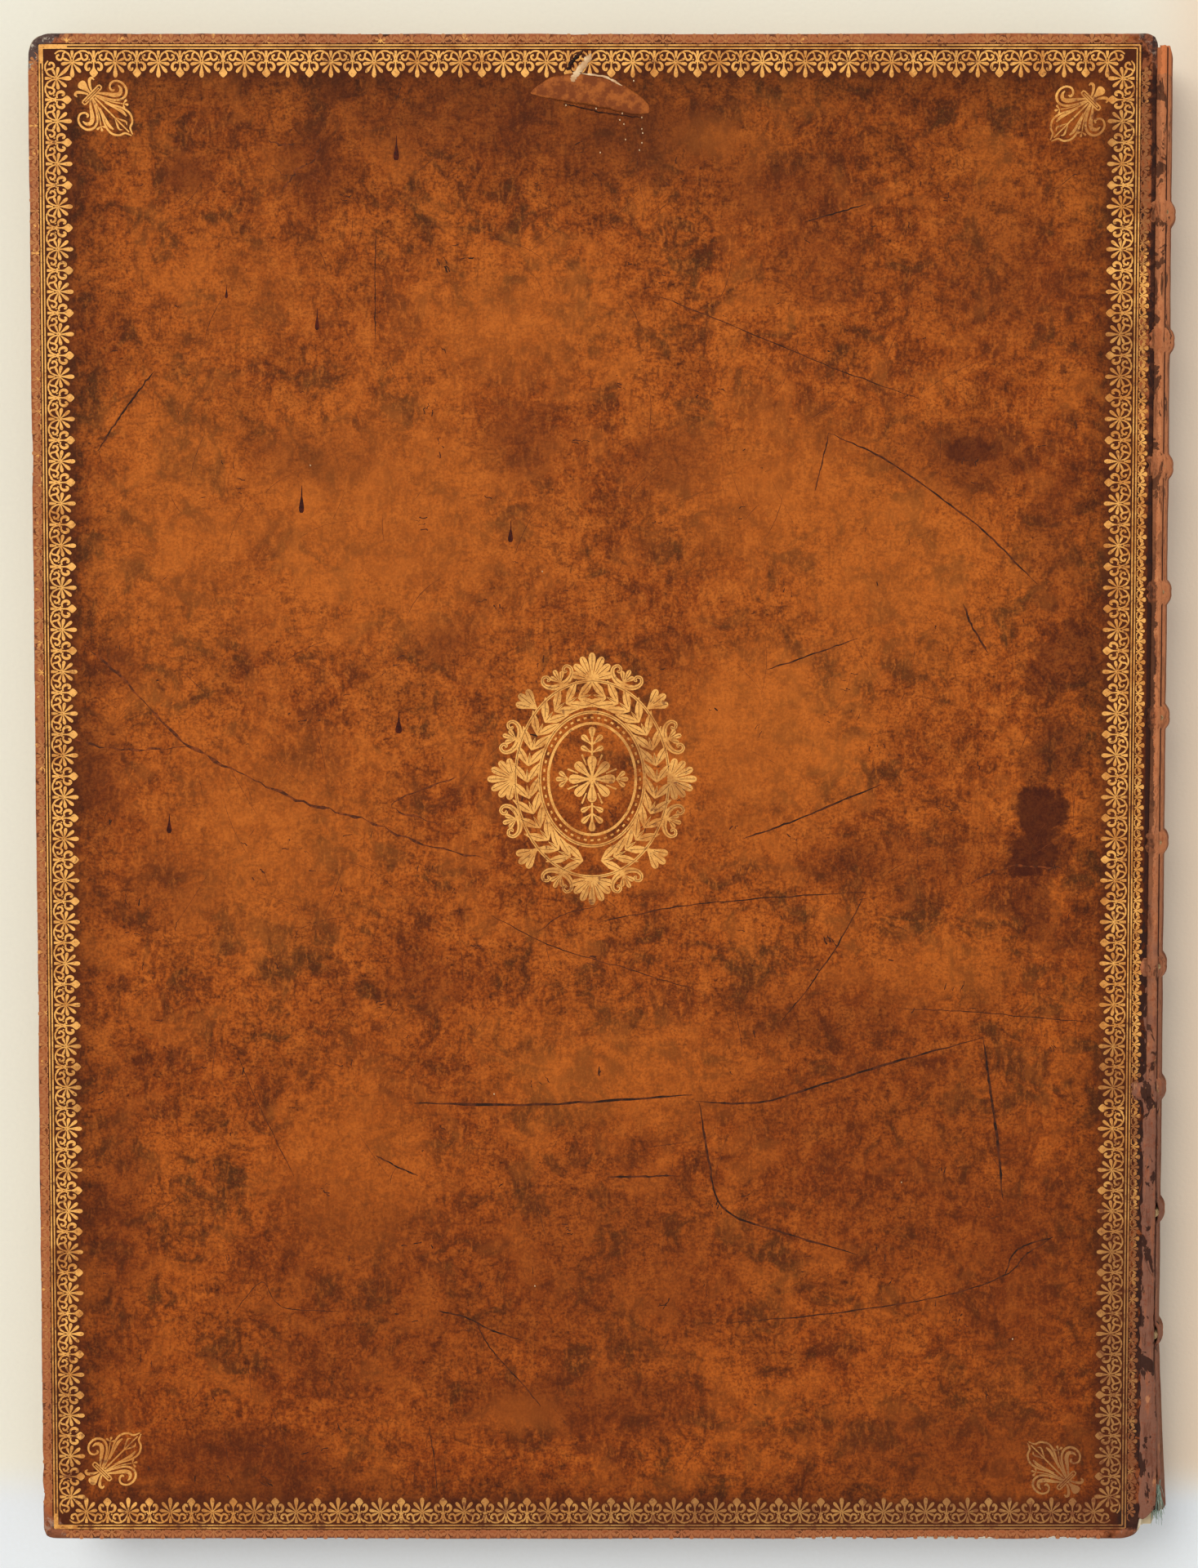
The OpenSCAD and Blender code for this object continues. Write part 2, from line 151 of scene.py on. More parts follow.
class Recipe:
    """A material under construction: its nodes, and the shader that they feed."""

    def __init__(self, name, roughness=0.6, specular=0.3):
        self.material = bpy.data.materials.new(name)
        self.material.use_nodes = True
        self.tree = self.material.node_tree
        self.tree.nodes.clear()
        self.shader = self.node("BsdfPrincipled", {},
                                {"Roughness": roughness, "Specular IOR Level": specular})
        self.node("OutputMaterial", {}, {"Surface": self.shader.outputs["BSDF"]})
        self.place = self.node("TexCoord", {}, {}).outputs["Object"]
        millimetres = self.node("VectorMath", {"operation": "SCALE"}, {0: self.place, "Scale": 1 / MM})
        parts = self.node("SeparateXYZ", {}, {0: millimetres.outputs[0]})
        self.x, self.y, self.z = [Number(self, parts.outputs[i]) for i in range(3)]

    def node(self, kind, settings, sockets):
        """Adds a node, sets its settings first and then its sockets, by value or by link."""
        made = self.tree.nodes.new("ShaderNode" + kind)
        for key, value in settings.items():
            setattr(made, key, value)
        for key, value in sockets.items():
            source = value.socket if isinstance(value, Number) else value
            if isinstance(source, bpy.types.NodeSocket):
                self.tree.links.new(source, made.inputs[key])
            else:
                made.inputs[key].default_value = source
        return made

    def sum(self, operation, *values):
        """One Math node, with any of its operations."""
        made = self.node("Math", {"operation": operation}, dict(enumerate(values)))
        return Number(self, made.outputs[0])

    def least(self, first, *others):
        for other in others:
            first = self.sum("MINIMUM", first, other)
        return first

    def most(self, first, *others):
        for other in others:
            first = self.sum("MAXIMUM", first, other)
        return first

    def rise(self, value, low, high):
        """0 below low, 1 above high, and smooth between them."""
        made = self.node("MapRange", {"interpolation_type": "SMOOTHSTEP"},
                         {"Value": value, "From Min": low, "From Max": high})
        return Number(self, made.outputs[0])

    def between(self, value, low, high, soft):
        """1 between low and high, and 0 outside them."""
        return self.rise(value, low - soft, low + soft) * (1 - self.rise(value, high - soft, high + soft))

    def cloud(self, size, seed, detail=3.0, rough=0.55, twist=0.0, stretch=(1, 1, 1)):
        """Noise whose lumps are about size millimetres across."""
        moved = self.node("Mapping", {}, {"Vector": self.place, "Location": (seed, seed / 3, 0),
                                          "Scale": stretch})
        made = self.node("TexNoise", {}, {
            "Vector": moved.outputs[0], "Scale": 1 / (size * MM),
            "Detail": detail, "Roughness": rough, "Distortion": twist})
        return Number(self, made.outputs["Fac"])

    def mix(self, factor, first, second):
        """Colour first where the factor is 0, second where it is 1."""
        made = self.node("Mix", {"data_type": "RGBA"},
                         {MIX_FACTOR: factor, MIX_FIRST: first, MIX_SECOND: second})
        return made.outputs[MIXED]

    def shade(self, factor, colour, tint):
        """Darkens a colour towards its product with a tint."""
        made = self.node("Mix", {"data_type": "RGBA", "blend_type": "MULTIPLY"},
                         {MIX_FACTOR: factor, MIX_FIRST: colour, MIX_SECOND: tint})
        return made.outputs[MIXED]

    def spot(self, centre, across, tall, soft, wobble):
        """A round stain with an uneven edge: 1 inside, 0 outside."""
        right = (self.x - centre.x) / across
        up = (self.y - centre.y) / tall
        reach = self.sum("SQRT", right * right + up * up) + wobble
        return 1 - self.rise(reach, 1 - soft, 1 + soft)

    def set(self, **sockets):
        """Links the finish of the surface, each socket by its name."""
        for name, value in sockets.items():
            source = value.socket if isinstance(value, Number) else value
            self.tree.links.new(source, self.shader.inputs[name.replace("_", " ")])

    def bump(self, height, depth, strength=1.0):
        """Raises the surface by up to depth millimetres where height is 1."""
        made = self.node("Bump", {}, {"Strength": strength, "Distance": depth * MM, "Height": height})
        self.tree.links.new(made.outputs[0], self.shader.inputs["Normal"])


print("shader helpers ready")

# %% [markdown]
# ## The calf
# Acid-sprinkled calf is never one brown. From large to small it has slow changes of tone, cloudy
# blotches a centimetre or two across, and fine specks, and on top of these come the marks of use:
# a dark worn margin under the tooling, spilt water, and rubbed places where the pale inside of the
# skin shows. Each is a mask, and the masks mix a handful of browns.

# %% The browns of the binding
CALF_PALE = srgb(198, 106, 35)
CALF_LIGHT = srgb(175, 86, 22)
CALF = srgb(147, 66, 13)
CALF_RED = srgb(120, 48, 16)
CALF_DARK = srgb(98, 42, 12)
OLIVE = srgb(88, 54, 20)
DEEP = srgb(50, 22, 10)
TOOLED_GROUND = srgb(70, 28, 10)
WATER_STAIN = srgb(58, 18, 8)
RUBBED = srgb(176, 100, 60)
FLESH = srgb(226, 156, 104)
SPINE_TAN = srgb(196, 122, 78)
SPINE_BROWN = srgb(92, 46, 28)
SPINE_PINK = srgb(130, 86, 68)
SPINE_DUST_AND_SHADE = srgb(120, 76, 50)
WORN_BAND = srgb(162, 96, 56)
TORN_HEAD = srgb(214, 122, 70)
SCORCHED = srgb(46, 24, 18)
GREY_WEAR = srgb(66, 62, 62)
BARE_BOARD = srgb(220, 206, 184)
# Tints that the border, the lower half and the head are darkened with
BORDER_TINT = (0.66, 0.66, 0.7, 1.0)
LOWER_TINT = (0.9, 0.83, 0.72, 1.0)
HEAD_TINT = (0.74, 0.74, 0.74, 1.0)
print("the palest brown in linear values:", [round(level, 3) for level in CALF_PALE[:3]])

# %% Where the gilding runs, and where stains and clouds lie
# Distances from the edge of the cover to the outer gilt line, the palmettes and their tips
GILT_MARGIN, GILT_MARGIN_JOINT = 4.6, 7.0
LACE_START, LACE_END = 6.3, 16.4

# Marks seen in the photograph: pixel, half width and half height in mm, strength
WATER_STAINS = [
    ((1308, 804), 12, 12, 0.5), ((1280, 830), 9, 8, 0.42), ((1292, 918), 10, 12, 0.5),
    ((1270, 940), 7, 9, 0.4), ((1274, 996), 10, 12, 0.85), ((1262, 1046), 10, 10, 0.8),
    ((1290, 1040), 7, 14, 0.55), ((1265, 1112), 7, 16, 0.5), ((1290, 1150), 8, 8, 0.3),
    ((1188, 552), 8, 5, 0.6)]
DARK_CLOUDS = [
    ((780, 165), 34, 17, 0.55), ((1180, 560), 22, 14, 0.5), ((520, 1210), 12, 9, 0.4),
    ((600, 150), 60, 12, 0.4), ((720, 1720), 44, 14, 0.5), ((1130, 1060), 40, 14, 0.3),
    ((405, 105), 8, 6, 0.6), ((225, 215), 8, 8, 0.6), ((380, 200), 12, 16, 0.5),
    ((950, 230), 26, 14, 0.4), ((150, 820), 9, 9, 0.45), ((300, 1800), 46, 14, 0.5),
    ((1290, 650), 10, 34, 0.4), ((1180, 1770), 60, 16, 0.5), ((1250, 1560), 26, 50, 0.45),
    ((1100, 1420), 60, 60, 0.3), ((820, 560), 16, 12, 0.45), ((640, 540), 14, 16, 0.4),
    ((380, 560), 22, 10, 0.35), ((150, 1500), 10, 60, 0.4), ((450, 1600), 50, 40, 0.3),
    ((750, 1550), 60, 40, 0.35), ((200, 1100), 26, 14, 0.3), ((120, 940), 10, 18, 0.5),
    ((540, 790), 12, 8, 0.4), ((1000, 330), 20, 14, 0.35), ((1230, 330), 26, 30, 0.35),
    ((1010, 1240), 36, 14, 0.35)]
PALE_CLOUDS = [
    ((862, 167), 13, 6.5, 0.5), ((480, 640), 50, 40, 0.4), ((960, 600), 46, 30, 0.35),
    ((930, 900), 34, 34, 0.45), ((620, 400), 40, 22, 0.35), ((330, 1020), 40, 34, 0.35),
    ((760, 1320), 46, 20, 0.35), ((220, 640), 26, 50, 0.3), ((1150, 1190), 26, 12, 0.3),
    ((1090, 700), 34, 34, 0.35), ((440, 1420), 26, 34, 0.35), ((640, 1730), 13, 7, 0.6),
    ((300, 360), 30, 20, 0.2)]
# Where the board is bare along the tail edge, and where the corner at the joint is burnt dark
TAIL_EDGE_ROW = 1880
BARE_STRETCHES = [(975, 1075), (1105, 1216), (1262, 1340)]
BURNT_CORNER = (1388, 1856)
print(len(WATER_STAINS), "water stains,", len(DARK_CLOUDS), "dark and", len(PALE_CLOUDS), "pale clouds")


# %% The sprinkled calf
def edge_distance(recipe):
    """Distance in from the nearest edge, counted so that the gilt frame runs at one distance."""
    joint_shift = GILT_MARGIN_JOINT - GILT_MARGIN
    return recipe.least(recipe.x - FORE_X, (JOINT_X - joint_shift) - recipe.x,
                        HEAD_Y - recipe.y, recipe.y + HEAD_Y)


def mottle(recipe, seed):
    """The sprinkled calf before any wear."""
    tone = recipe.cloud(46, seed, 7, 0.68, 0.3)
    patch = recipe.cloud(13, seed + 1, 6, 0.7, 0.7)
    across = recipe.cloud(2.4, seed + 4, 4, 0.75, 0.3, (0.5, 1, 1))
    down = recipe.cloud(2.2, seed + 5, 3, 0.7, 0.3, (1, 0.4, 1))
    grain = recipe.cloud(1.0, seed + 6, 2, 0.6)
    colour = recipe.mix(recipe.rise(tone, 0.36, 0.6), CALF, CALF_LIGHT)
    colour = recipe.mix(recipe.rise(patch, 0.5, 0.32) * 0.7, colour, CALF_PALE)
    colour = recipe.mix(recipe.rise(patch, 0.48, 0.63) * 0.9, colour, CALF_DARK)
    colour = recipe.mix(recipe.rise(tone + patch, 1.02, 1.22) * 0.7, colour, OLIVE)
    colour = recipe.mix(recipe.rise(across, 0.46, 0.66) * 0.7, colour, CALF_DARK)
    colour = recipe.mix(recipe.rise(down, 0.5, 0.34) * 0.5, colour, CALF_PALE)
    colour = recipe.mix(recipe.rise(down, 0.52, 0.7) * 0.6, colour, DEEP)
    colour = recipe.mix(recipe.rise(grain, 0.48, 0.36) * 0.18, colour, CALF_PALE)
    colour = recipe.mix(recipe.rise(grain, 0.46, 0.64) * 0.55, colour, CALF_DARK)
    colour = recipe.mix(recipe.rise(across + grain, 1.22, 1.32) * 0.7, colour, DEEP)
    drift = recipe.cloud(20, seed + 7, 4, 0.62, 0.6)
    colour = recipe.mix(recipe.rise(drift, 0.5, 0.36) * 0.28, colour, CALF_PALE)
    return recipe.shade(recipe.rise(drift, 0.5, 0.64) * 0.75, colour, HEAD_TINT), grain


def stained(recipe, colour, ragged, marks, target, soft, wobble):
    """Lays a family of soft stains over a colour."""
    masks = [recipe.spot(seen_at(*pixel), across, tall, soft, (ragged - 0.5) * wobble) * strength
             for pixel, across, tall, strength in marks]
    return recipe.mix(recipe.most(*masks), colour, target)


def darkened(recipe, colour, ragged, inward):
    """Darker in a halo inside the border, towards the tail, and at the head."""
    halo = 1 - recipe.rise(inward + (ragged - 0.5) * 26, 15, 32)
    colour = recipe.shade(halo, colour, BORDER_TINT)
    colour = recipe.shade(recipe.rise(0 - recipe.y, -60, 240), colour, LOWER_TINT)
    return recipe.shade(recipe.rise(recipe.y + (ragged - 0.5) * 120, 190, 270), colour, HEAD_TINT)


print("sprinkled calf ready")

# %% What tooling and wear did to the calf
def tooled_border(recipe, colour, ragged, inward, seed):
    """The dark ground under the rolls, the rubbed margin outside them, and the ruled lines."""
    ground = recipe.rise(inward, GILT_MARGIN - 1, GILT_MARGIN)
    ground = ground * recipe.rise(inward + (ragged - 0.5) * 5, LACE_END + 2.5, LACE_END - 3.5)
    colour = recipe.mix(ground * 0.84, colour, TOOLED_GROUND)
    margin = 1 - recipe.rise(inward, GILT_MARGIN - 0.9, GILT_MARGIN - 0.3)
    at_joint = recipe.rise(recipe.x, JOINT_X - GILT_MARGIN_JOINT - 0.6, JOINT_X - GILT_MARGIN_JOINT)
    colour = recipe.mix(margin * (1 - at_joint) * recipe.rise(ragged, 0.3, 0.5) * 0.8, colour, RUBBED)
    blotch = recipe.cloud(4.5, seed + 25, 5, 0.75, 0.5)
    colour = recipe.mix(margin * recipe.rise(blotch, 0.52, 0.62) * 0.65, colour, SCORCHED)
    tan = recipe.rise(recipe.y + (ragged - 0.5) * 80, 90, 150)
    tan = recipe.most(tan, recipe.rise(0 - recipe.y, 120, 190) * 0.7) * recipe.rise(blotch, 0.53, 0.44)
    colour = recipe.mix(at_joint * 0.75 * (1 - tan), colour, TOOLED_GROUND)
    colour = recipe.mix(at_joint * tan * 0.55, colour, RUBBED)
    colour = recipe.mix(at_joint * recipe.rise(blotch + ragged * 0.2, 0.66, 0.7) * 0.8, colour, SCORCHED)
    for line in (GILT_MARGIN - 0.55, GILT_MARGIN + 0.6, GILT_MARGIN + 1.6):
        colour = recipe.mix(recipe.between(inward, line - 0.15, line + 0.15, 0.12) * 0.85, colour, DEEP)
    return colour


def worn_joint(recipe, colour, ragged, seed):
    """The edge at the joint: dark near the head, torn down to the flesh and flaking lower down."""
    joint = recipe.x - JOINT_X
    lower = recipe.rise(0 - recipe.y, 10, 90)
    worn = joint + lower * 1.8 + (ragged - 0.5) * (1.5 + lower * 5)
    colour = recipe.mix(recipe.between(joint, -2.6, 0.4, 0.3) * (1 - lower) * 0.85, colour, SCORCHED)
    colour = recipe.mix(recipe.rise(worn, -0.2, 0.2), colour, recipe.mix(lower, RUBBED, SPINE_PINK))
    flakes = recipe.cloud(5.5, seed + 22, 4, 0.7, 0.6, (1, 0.5, 1))
    dark_flakes = recipe.between(worn, -3.0, 2.2, 0.25) * recipe.rise(flakes + lower * 0.12, 0.57, 0.6)
    return recipe.mix(dark_flakes * 0.92, colour, SCORCHED), dark_flakes


def worn_corners(recipe, colour, ragged, seed):
    """Corners rubbed grey down to the board, most at the fore-edge's head, and a scuffed rim."""
    side_reach = recipe.sum("ABSOLUTE", recipe.x - MIDDLE_X) - (JOINT_X - MIDDLE_X)
    tail_reach = recipe.sum("ABSOLUTE", recipe.y) - HEAD_Y
    corner = recipe.rise(side_reach + tail_reach + (ragged - 0.5) * 22, -14, -11)
    at_fore_head = (1 - recipe.rise(recipe.x, MIDDLE_X - 1, MIDDLE_X + 1)) * recipe.rise(recipe.y, -1, 1)
    colour = recipe.mix(corner * recipe.rise(ragged, 0.4, 0.5) * 0.7, colour, RUBBED)
    corner = corner * (at_fore_head * 0.65 + 0.35)
    colour = recipe.mix(corner * 0.88, colour, GREY_WEAR)
    patchy = recipe.cloud(3.4, seed + 24, 5, 0.75, 0.4)
    colour = recipe.mix(corner * recipe.rise(patchy, 0.55, 0.62) * 0.6, colour, BARE_BOARD)
    colour = recipe.mix(corner * recipe.rise(patchy, 0.46, 0.38) * 0.7, colour, SCORCHED)
    rim = recipe.rise(recipe.most(side_reach, tail_reach), -1.1, -0.3)
    scuff = recipe.rise(recipe.cloud(6, seed + 23, 4, 0.75, 0, (0.6, 0.6, 1)), 0.52, 0.6)
    colour = recipe.mix(rim * scuff * 0.75, colour, GREY_WEAR)
    return recipe.shade(recipe.rise(0 - recipe.y, HEAD_Y - 4, HEAD_Y - 2), colour, HEAD_TINT)


def bare_tail(recipe, colour, ragged):
    """Bare board along stretches of the tail edge, and the burnt corner."""
    for left, right in BARE_STRETCHES:
        start, end = seen_at(left, TAIL_EDGE_ROW).x, seen_at(right, TAIL_EDGE_ROW).x
        span = recipe.between(recipe.x, start, end, 1.5)
        at_tail = 1 - recipe.rise(recipe.y + HEAD_Y + (ragged - 0.5) * 5, 0.9, 1.3)
        colour = recipe.mix(span * at_tail, colour, BARE_BOARD)
    burnt = recipe.spot(seen_at(*BURNT_CORNER), 6.0, 4.6, 0.2, (ragged - 0.5) * 1.8)
    return recipe.mix(burnt * 0.9, colour, SCORCHED)


print("tooling and wear ready")

# %% The calf of each cover
def cover_calf(name, seed, seen):
    """The calf of one cover; only the one that is seen has the marks of the photograph."""
    recipe = Recipe(name, 0.5, 0.12)
    colour, grain = mottle(recipe, seed)
    ragged = recipe.cloud(9, seed + 20, 5, 0.68, 0.4)
    if seen:
        colour = stained(recipe, colour, ragged, PALE_CLOUDS, CALF_PALE, 0.7, 2.2)
        colour = stained(recipe, colour, ragged, DARK_CLOUDS, CALF_DARK, 0.6, 2.4)
        colour = stained(recipe, colour, ragged, WATER_STAINS, WATER_STAIN, 0.22, 1.9)
    inward = edge_distance(recipe)
    colour = darkened(recipe, colour, ragged, inward)
    colour = tooled_border(recipe, colour, ragged, inward, seed)
    colour, dark_flakes = worn_joint(recipe, colour, ragged, seed)
    colour = worn_corners(recipe, colour, ragged, seed)
    if seen:
        colour = bare_tail(recipe, colour, ragged)
    recipe.set(Base_Color=colour, Roughness=0.5 + grain * 0.25)
    recipe.bump(grain * 0.6 + ragged * 0.8 - dark_flakes * 0.4, 0.3, 0.7)
    return recipe.material


back_calf = cover_calf("calf_back_cover", 3.0, True)
front_calf = cover_calf("calf_front_cover", 41.0, False)
print("calf mixed for both covers")

# %% [markdown]
# The skin over the spine has been handled most. Its dark surface survives in islands, and the
# rest is rubbed to a paler tan. The same recipe serves the joint leather and the band ends.

# %% Rubbed leather for the spine and the joints
def rubbed_ground(recipe, lump, fine, strand):
    """Tan at the head and pinkish at the tail, with the long fibres of the skin laid bare."""
    lower = recipe.rise(0 - recipe.y + (lump - 0.5) * 200, -40, 140)
    colour = recipe.mix(lower, SPINE_TAN, SPINE_PINK)
    colour = recipe.mix(recipe.rise(strand, 0.52, 0.68) * 0.6, colour, SPINE_BROWN)
    colour = recipe.mix(recipe.rise(strand, 0.48, 0.36) * 0.4, colour, RUBBED)
    return recipe.mix(recipe.rise(fine, 0.5, 0.7) * 0.5, colour, CALF_RED)


def beside_the_board(recipe, colour, lump, fine, strand, lower, upper):
    """Dark in the fold along the board, rubbed pale where a band stands up over it, with painted shadow on
    its end.
    """
    from_board = recipe.x - JOINT_X + (fine - 0.5) * 3 + (lump - 0.5) * 4
    hidden = recipe.between(from_board, -3, 0.7, 0.2) * (1 - lower)
    colour = recipe.mix(hidden * (1 - upper * 0.6) * 0.85, colour, SCORCHED)
    from_middle = recipe.sum("ABSOLUTE", recipe.z - MIDDLE_Z)
    raised = recipe.rise(from_middle + fine, MIDDLE_Z + 0.3, MIDDLE_Z + 1.2)
    colour = recipe.mix(raised * (1 - lower) * 0.5 * recipe.rise(strand + fine, 1.12, 0.9), colour, RUBBED)
    # Painted shadow: dark streaks on the raised band ends where they lie over the board.
    outline = recipe.rise(recipe.x - JOINT_X + fine * 2, 0.4, -0.6) * raised * (1 - lower)
    return recipe.mix(outline * recipe.rise(strand, 0.4, 0.56) * 0.7, colour, SCORCHED)


def spine_panels(recipe, colour, lump, fine, strand, seed):
    """Panels on the outside of the spine, dusty and with painted shade, and the worn crowns of the bands on
    it.
    """
    # The outward face of the spine, turned away from the light, takes a dusty brown that is partly painted
    # shade.
    side = recipe.rise(recipe.sum("ABSOLUTE", recipe.z - MIDDLE_Z) + lump * 4, 14.2, 10.4)
    dust_and_shade = recipe.rise(recipe.cloud(24, seed + 6, 6, 0.72, 0.6), 0.42, 0.6)
    panel_dust_and_shade = recipe.mix(dust_and_shade, CALF_DARK, SPINE_DUST_AND_SHADE)
    panel_dust_and_shade = recipe.mix(recipe.rise(fine, 0.5, 0.66) * 0.6, panel_dust_and_shade, SPINE_BROWN)
    colour = recipe.mix(side * (0.6 + strand * 0.5), colour, panel_dust_and_shade)
    out, up = recipe.x - ARC_X, recipe.z - MIDDLE_Z
    away = recipe.sum("SQRT", out * out + up * up) + (fine - 0.5) * 1.6
    crown = recipe.rise(away, SPINE_R + 0.9, SPINE_R + 1.6) * side
    crown = crown * recipe.rise(recipe.y, BANDS[-1] - 6, BANDS[-1] - 5)
    return recipe.mix(crown * recipe.rise(strand + fine, 1.2, 0.84) * 0.8, colour, WORN_BAND)


def rubbed_calf(name, seed, islands):
    """The handled leather; its dark surface is left where a cloud is above the value islands."""
    recipe = Recipe(name, 0.65, 0.12)
    lump = recipe.cloud(9, seed, 4, 0.7)
    fine = recipe.cloud(1.8, seed + 1, 4, 0.75)
    strand = recipe.cloud(2.6, seed + 2, 4, 0.7, 0.2, (1, 0.14, 1))
    lower = recipe.rise(0 - recipe.y, -40, 120)
    upper = recipe.rise(recipe.y + (lump - 0.5) * 60, 60, 130)
    colour = rubbed_ground(recipe, lump, fine, strand)
    torn_head = recipe.rise(recipe.y + lump * 4, HEAD_Y - 13, HEAD_Y - 12.6)
    colour = recipe.mix(torn_head * 0.8, colour, TORN_HEAD)
    island = recipe.rise(recipe.cloud(7, seed + 3, 4, 0.7, 0.5, (1, 0.5, 1)), islands, islands + 0.03)
    island = island * (1 - torn_head) * recipe.most(lower * 0.9, upper * 0.8, 0.3)
    colour = recipe.mix(island, colour, SCORCHED)
    pale = recipe.rise(recipe.cloud(3, seed + 4, 3, 0.6, 0, (1, 0.4, 1)), 0.64, 0.7)
    colour = recipe.mix(pale * 0.35, colour, FLESH)
    colour = beside_the_board(recipe, colour, lump, fine, strand, lower, upper)
    colour = spine_panels(recipe, colour, lump, fine, strand, seed)
    recipe.set(Base_Color=colour, Roughness=0.55 + fine * 0.3)
    recipe.bump(fine * 0.6 + island * 0.5 + lump * 0.6 + strand * 0.5, 0.45, 1.0)
    return recipe.material


print("rubbed leather ready, to be mixed when the bands have been measured")

# %% [markdown]
# ## Gold, silk, cord and paper
# Gold leaf sits in the tooled impressions and wears off first where hands and shelves rub: here
# most towards the joint and the tail. Paper is cream with slow browning; silk and cord are plain.

# %% Gold leaf that has worn
GOLD_PAINTED_GLINT = srgb(248, 182, 94)
GOLD = srgb(200, 128, 54)
GOLD_DULL = srgb(150, 106, 60)
WORN_GROUND = srgb(118, 62, 26)
WORN_MARGIN = srgb(164, 92, 52)


def gold_leaf(name, seed):
    """Gold with painted glints in patches, duller towards the tail, and rubbed off down to the leather."""
    recipe = Recipe(name, 0.5, 0.3)
    rub = recipe.rise(recipe.x, FORE_X, JOINT_X) * 0.04 + recipe.rise(0 - recipe.y, 0, HEAD_Y) * 0.05
    outer = 1 - recipe.rise(edge_distance(recipe), GILT_MARGIN - 0.6, GILT_MARGIN - 0.3)
    rubbed = recipe.most(recipe.rise(recipe.y, 185, 215), recipe.rise(0 - recipe.y, 60, 140) * 0.5)
    at_joint = recipe.rise(recipe.x, JOINT_X - 14, JOINT_X - 13)
    outer = outer * recipe.most(1 - at_joint, rubbed)
    bare = recipe.rise(recipe.cloud(5, seed, 5, 0.7) + rub + outer * 0.26, 0.6, 0.7)
    patch = recipe.rise(recipe.cloud(38, seed + 1, 3, 0.6) + rub, 0.56, 0.72)
    # Painted glints: patches where the gold is lightened towards a highlight colour, fewer where it is
    # rubbed.
    painted_glint = recipe.rise(recipe.cloud(10, seed + 2, 5, 0.75) - rub * 2, 0.3, 0.56)
    lost = recipe.least(bare * 0.8 + patch * 0.4, 0.9)
    leaf = recipe.mix(painted_glint, GOLD, GOLD_PAINTED_GLINT)
    fleck = recipe.cloud(0.9, seed + 3, 3, 0.7)
    dull = recipe.rise(recipe.x * 0.5 - recipe.y + (recipe.cloud(30, seed + 4, 4) - 0.5) * 160, 140, 340)
    leaf = recipe.mix(dull * 0.75, leaf, GOLD_DULL)
    leaf = recipe.mix(recipe.rise(fleck, 0.54, 0.68) * 0.55, leaf, WORN_GROUND)
    bare_leather = recipe.mix(outer * (1 - at_joint * 0.75), WORN_GROUND, WORN_MARGIN)
    recipe.set(Base_Color=recipe.mix(lost, leaf, bare_leather), Metallic=(1 - lost) * 0.15)
    recipe.bump(fleck, 0.12)
    return recipe.material


def mark_finish(name, light, dark, seed, size=6.0, roughness=0.6):
    """Two tones in soft patches, for scratches, drips, torn skin and the painted shadow under it."""
    recipe = Recipe(name, roughness, 0.15)
    deep = recipe.rise(recipe.cloud(size, seed, 4, 0.7), 0.36, 0.6)
    recipe.set(Base_Color=recipe.mix(deep, light, dark))
    recipe.bump(recipe.cloud(1.5, seed + 2), 0.15)
    return recipe.material


back_gold = gold_leaf("gold_back_cover", 11.0)
front_gold = gold_leaf("gold_front_cover", 51.0)
print("gold laid for both covers")

# %% Paper, pasteboard, cord and silk
FOXING = srgb(150, 104, 60)
SHADE_BETWEEN_LEAVES = srgb(128, 92, 58)


def aged_paper(name, light, dark, seed, lined=False):
    """Browned paper with small foxed spots; a lined one shows the edges of single leaves, with painted
    shade between them.
    """
    recipe = Recipe(name, 0.85, 0.15)
    tone = recipe.rise(recipe.cloud(60, seed, 4), 0.35, 0.7)
    fibre = recipe.cloud(1.6, seed + 1, 3)
    fox = recipe.rise(recipe.cloud(7, seed + 2, 3), 0.68, 0.76)
    colour = recipe.mix(tone * 0.6, light, dark)
    colour = recipe.mix(fox * 0.5, colour, FOXING)
    if lined:
        edges = recipe.cloud(1.4, seed + 3, 2, 0.6, 0, (0.02, 0.02, 2.2))
        # Painted shade in the gaps between the single leaves.
        colour = recipe.mix(recipe.rise(edges, 0.45, 0.6) * 0.45, colour, SHADE_BETWEEN_LEAVES)
        fibre = fibre * 0.3 + edges
    recipe.set(Base_Color=colour)
    recipe.bump(fibre, 0.15)
    return recipe.material


def plain_fibre(name, light, dark, size, stretch):
    """Strands in two tones, drawn out by the stretch."""
    recipe = Recipe(name, 0.8, 0.2)
    strand = recipe.cloud(size, 5.0, 3, 0.6, 0, stretch)
    recipe.set(Base_Color=recipe.mix(recipe.rise(strand, 0.35, 0.65), light, dark))
    recipe.bump(strand, 0.2)
    return recipe.material


edge_paper = aged_paper("paper_edges", srgb(222, 202, 166), srgb(186, 154, 110), 21.0, True)
endpaper = aged_paper("paper_endleaves", srgb(226, 210, 178), srgb(200, 176, 136), 25.0)
lining_paper = aged_paper("paper_lining", srgb(196, 170, 126), srgb(150, 118, 80), 29.0)
pasteboard = plain_fibre("pasteboard", srgb(206, 190, 164), srgb(168, 148, 120), 4, (1, 1, 3))
hemp = plain_fibre("hemp_cord", srgb(190, 160, 116), srgb(130, 100, 66), 0.8, (1, 1, 1))
green_silk = plain_fibre("green_silk", srgb(92, 122, 110), srgb(176, 188, 170), 0.5, (1, 0.1, 1))
print("paper, board, cord and silk ready")

# %% [markdown]
# ## Pieces that stay as the model has them
# The boards, the laced cord ends, the cords and the papers have their true shape already, and
# mostly can't be seen, so they only get their finish.

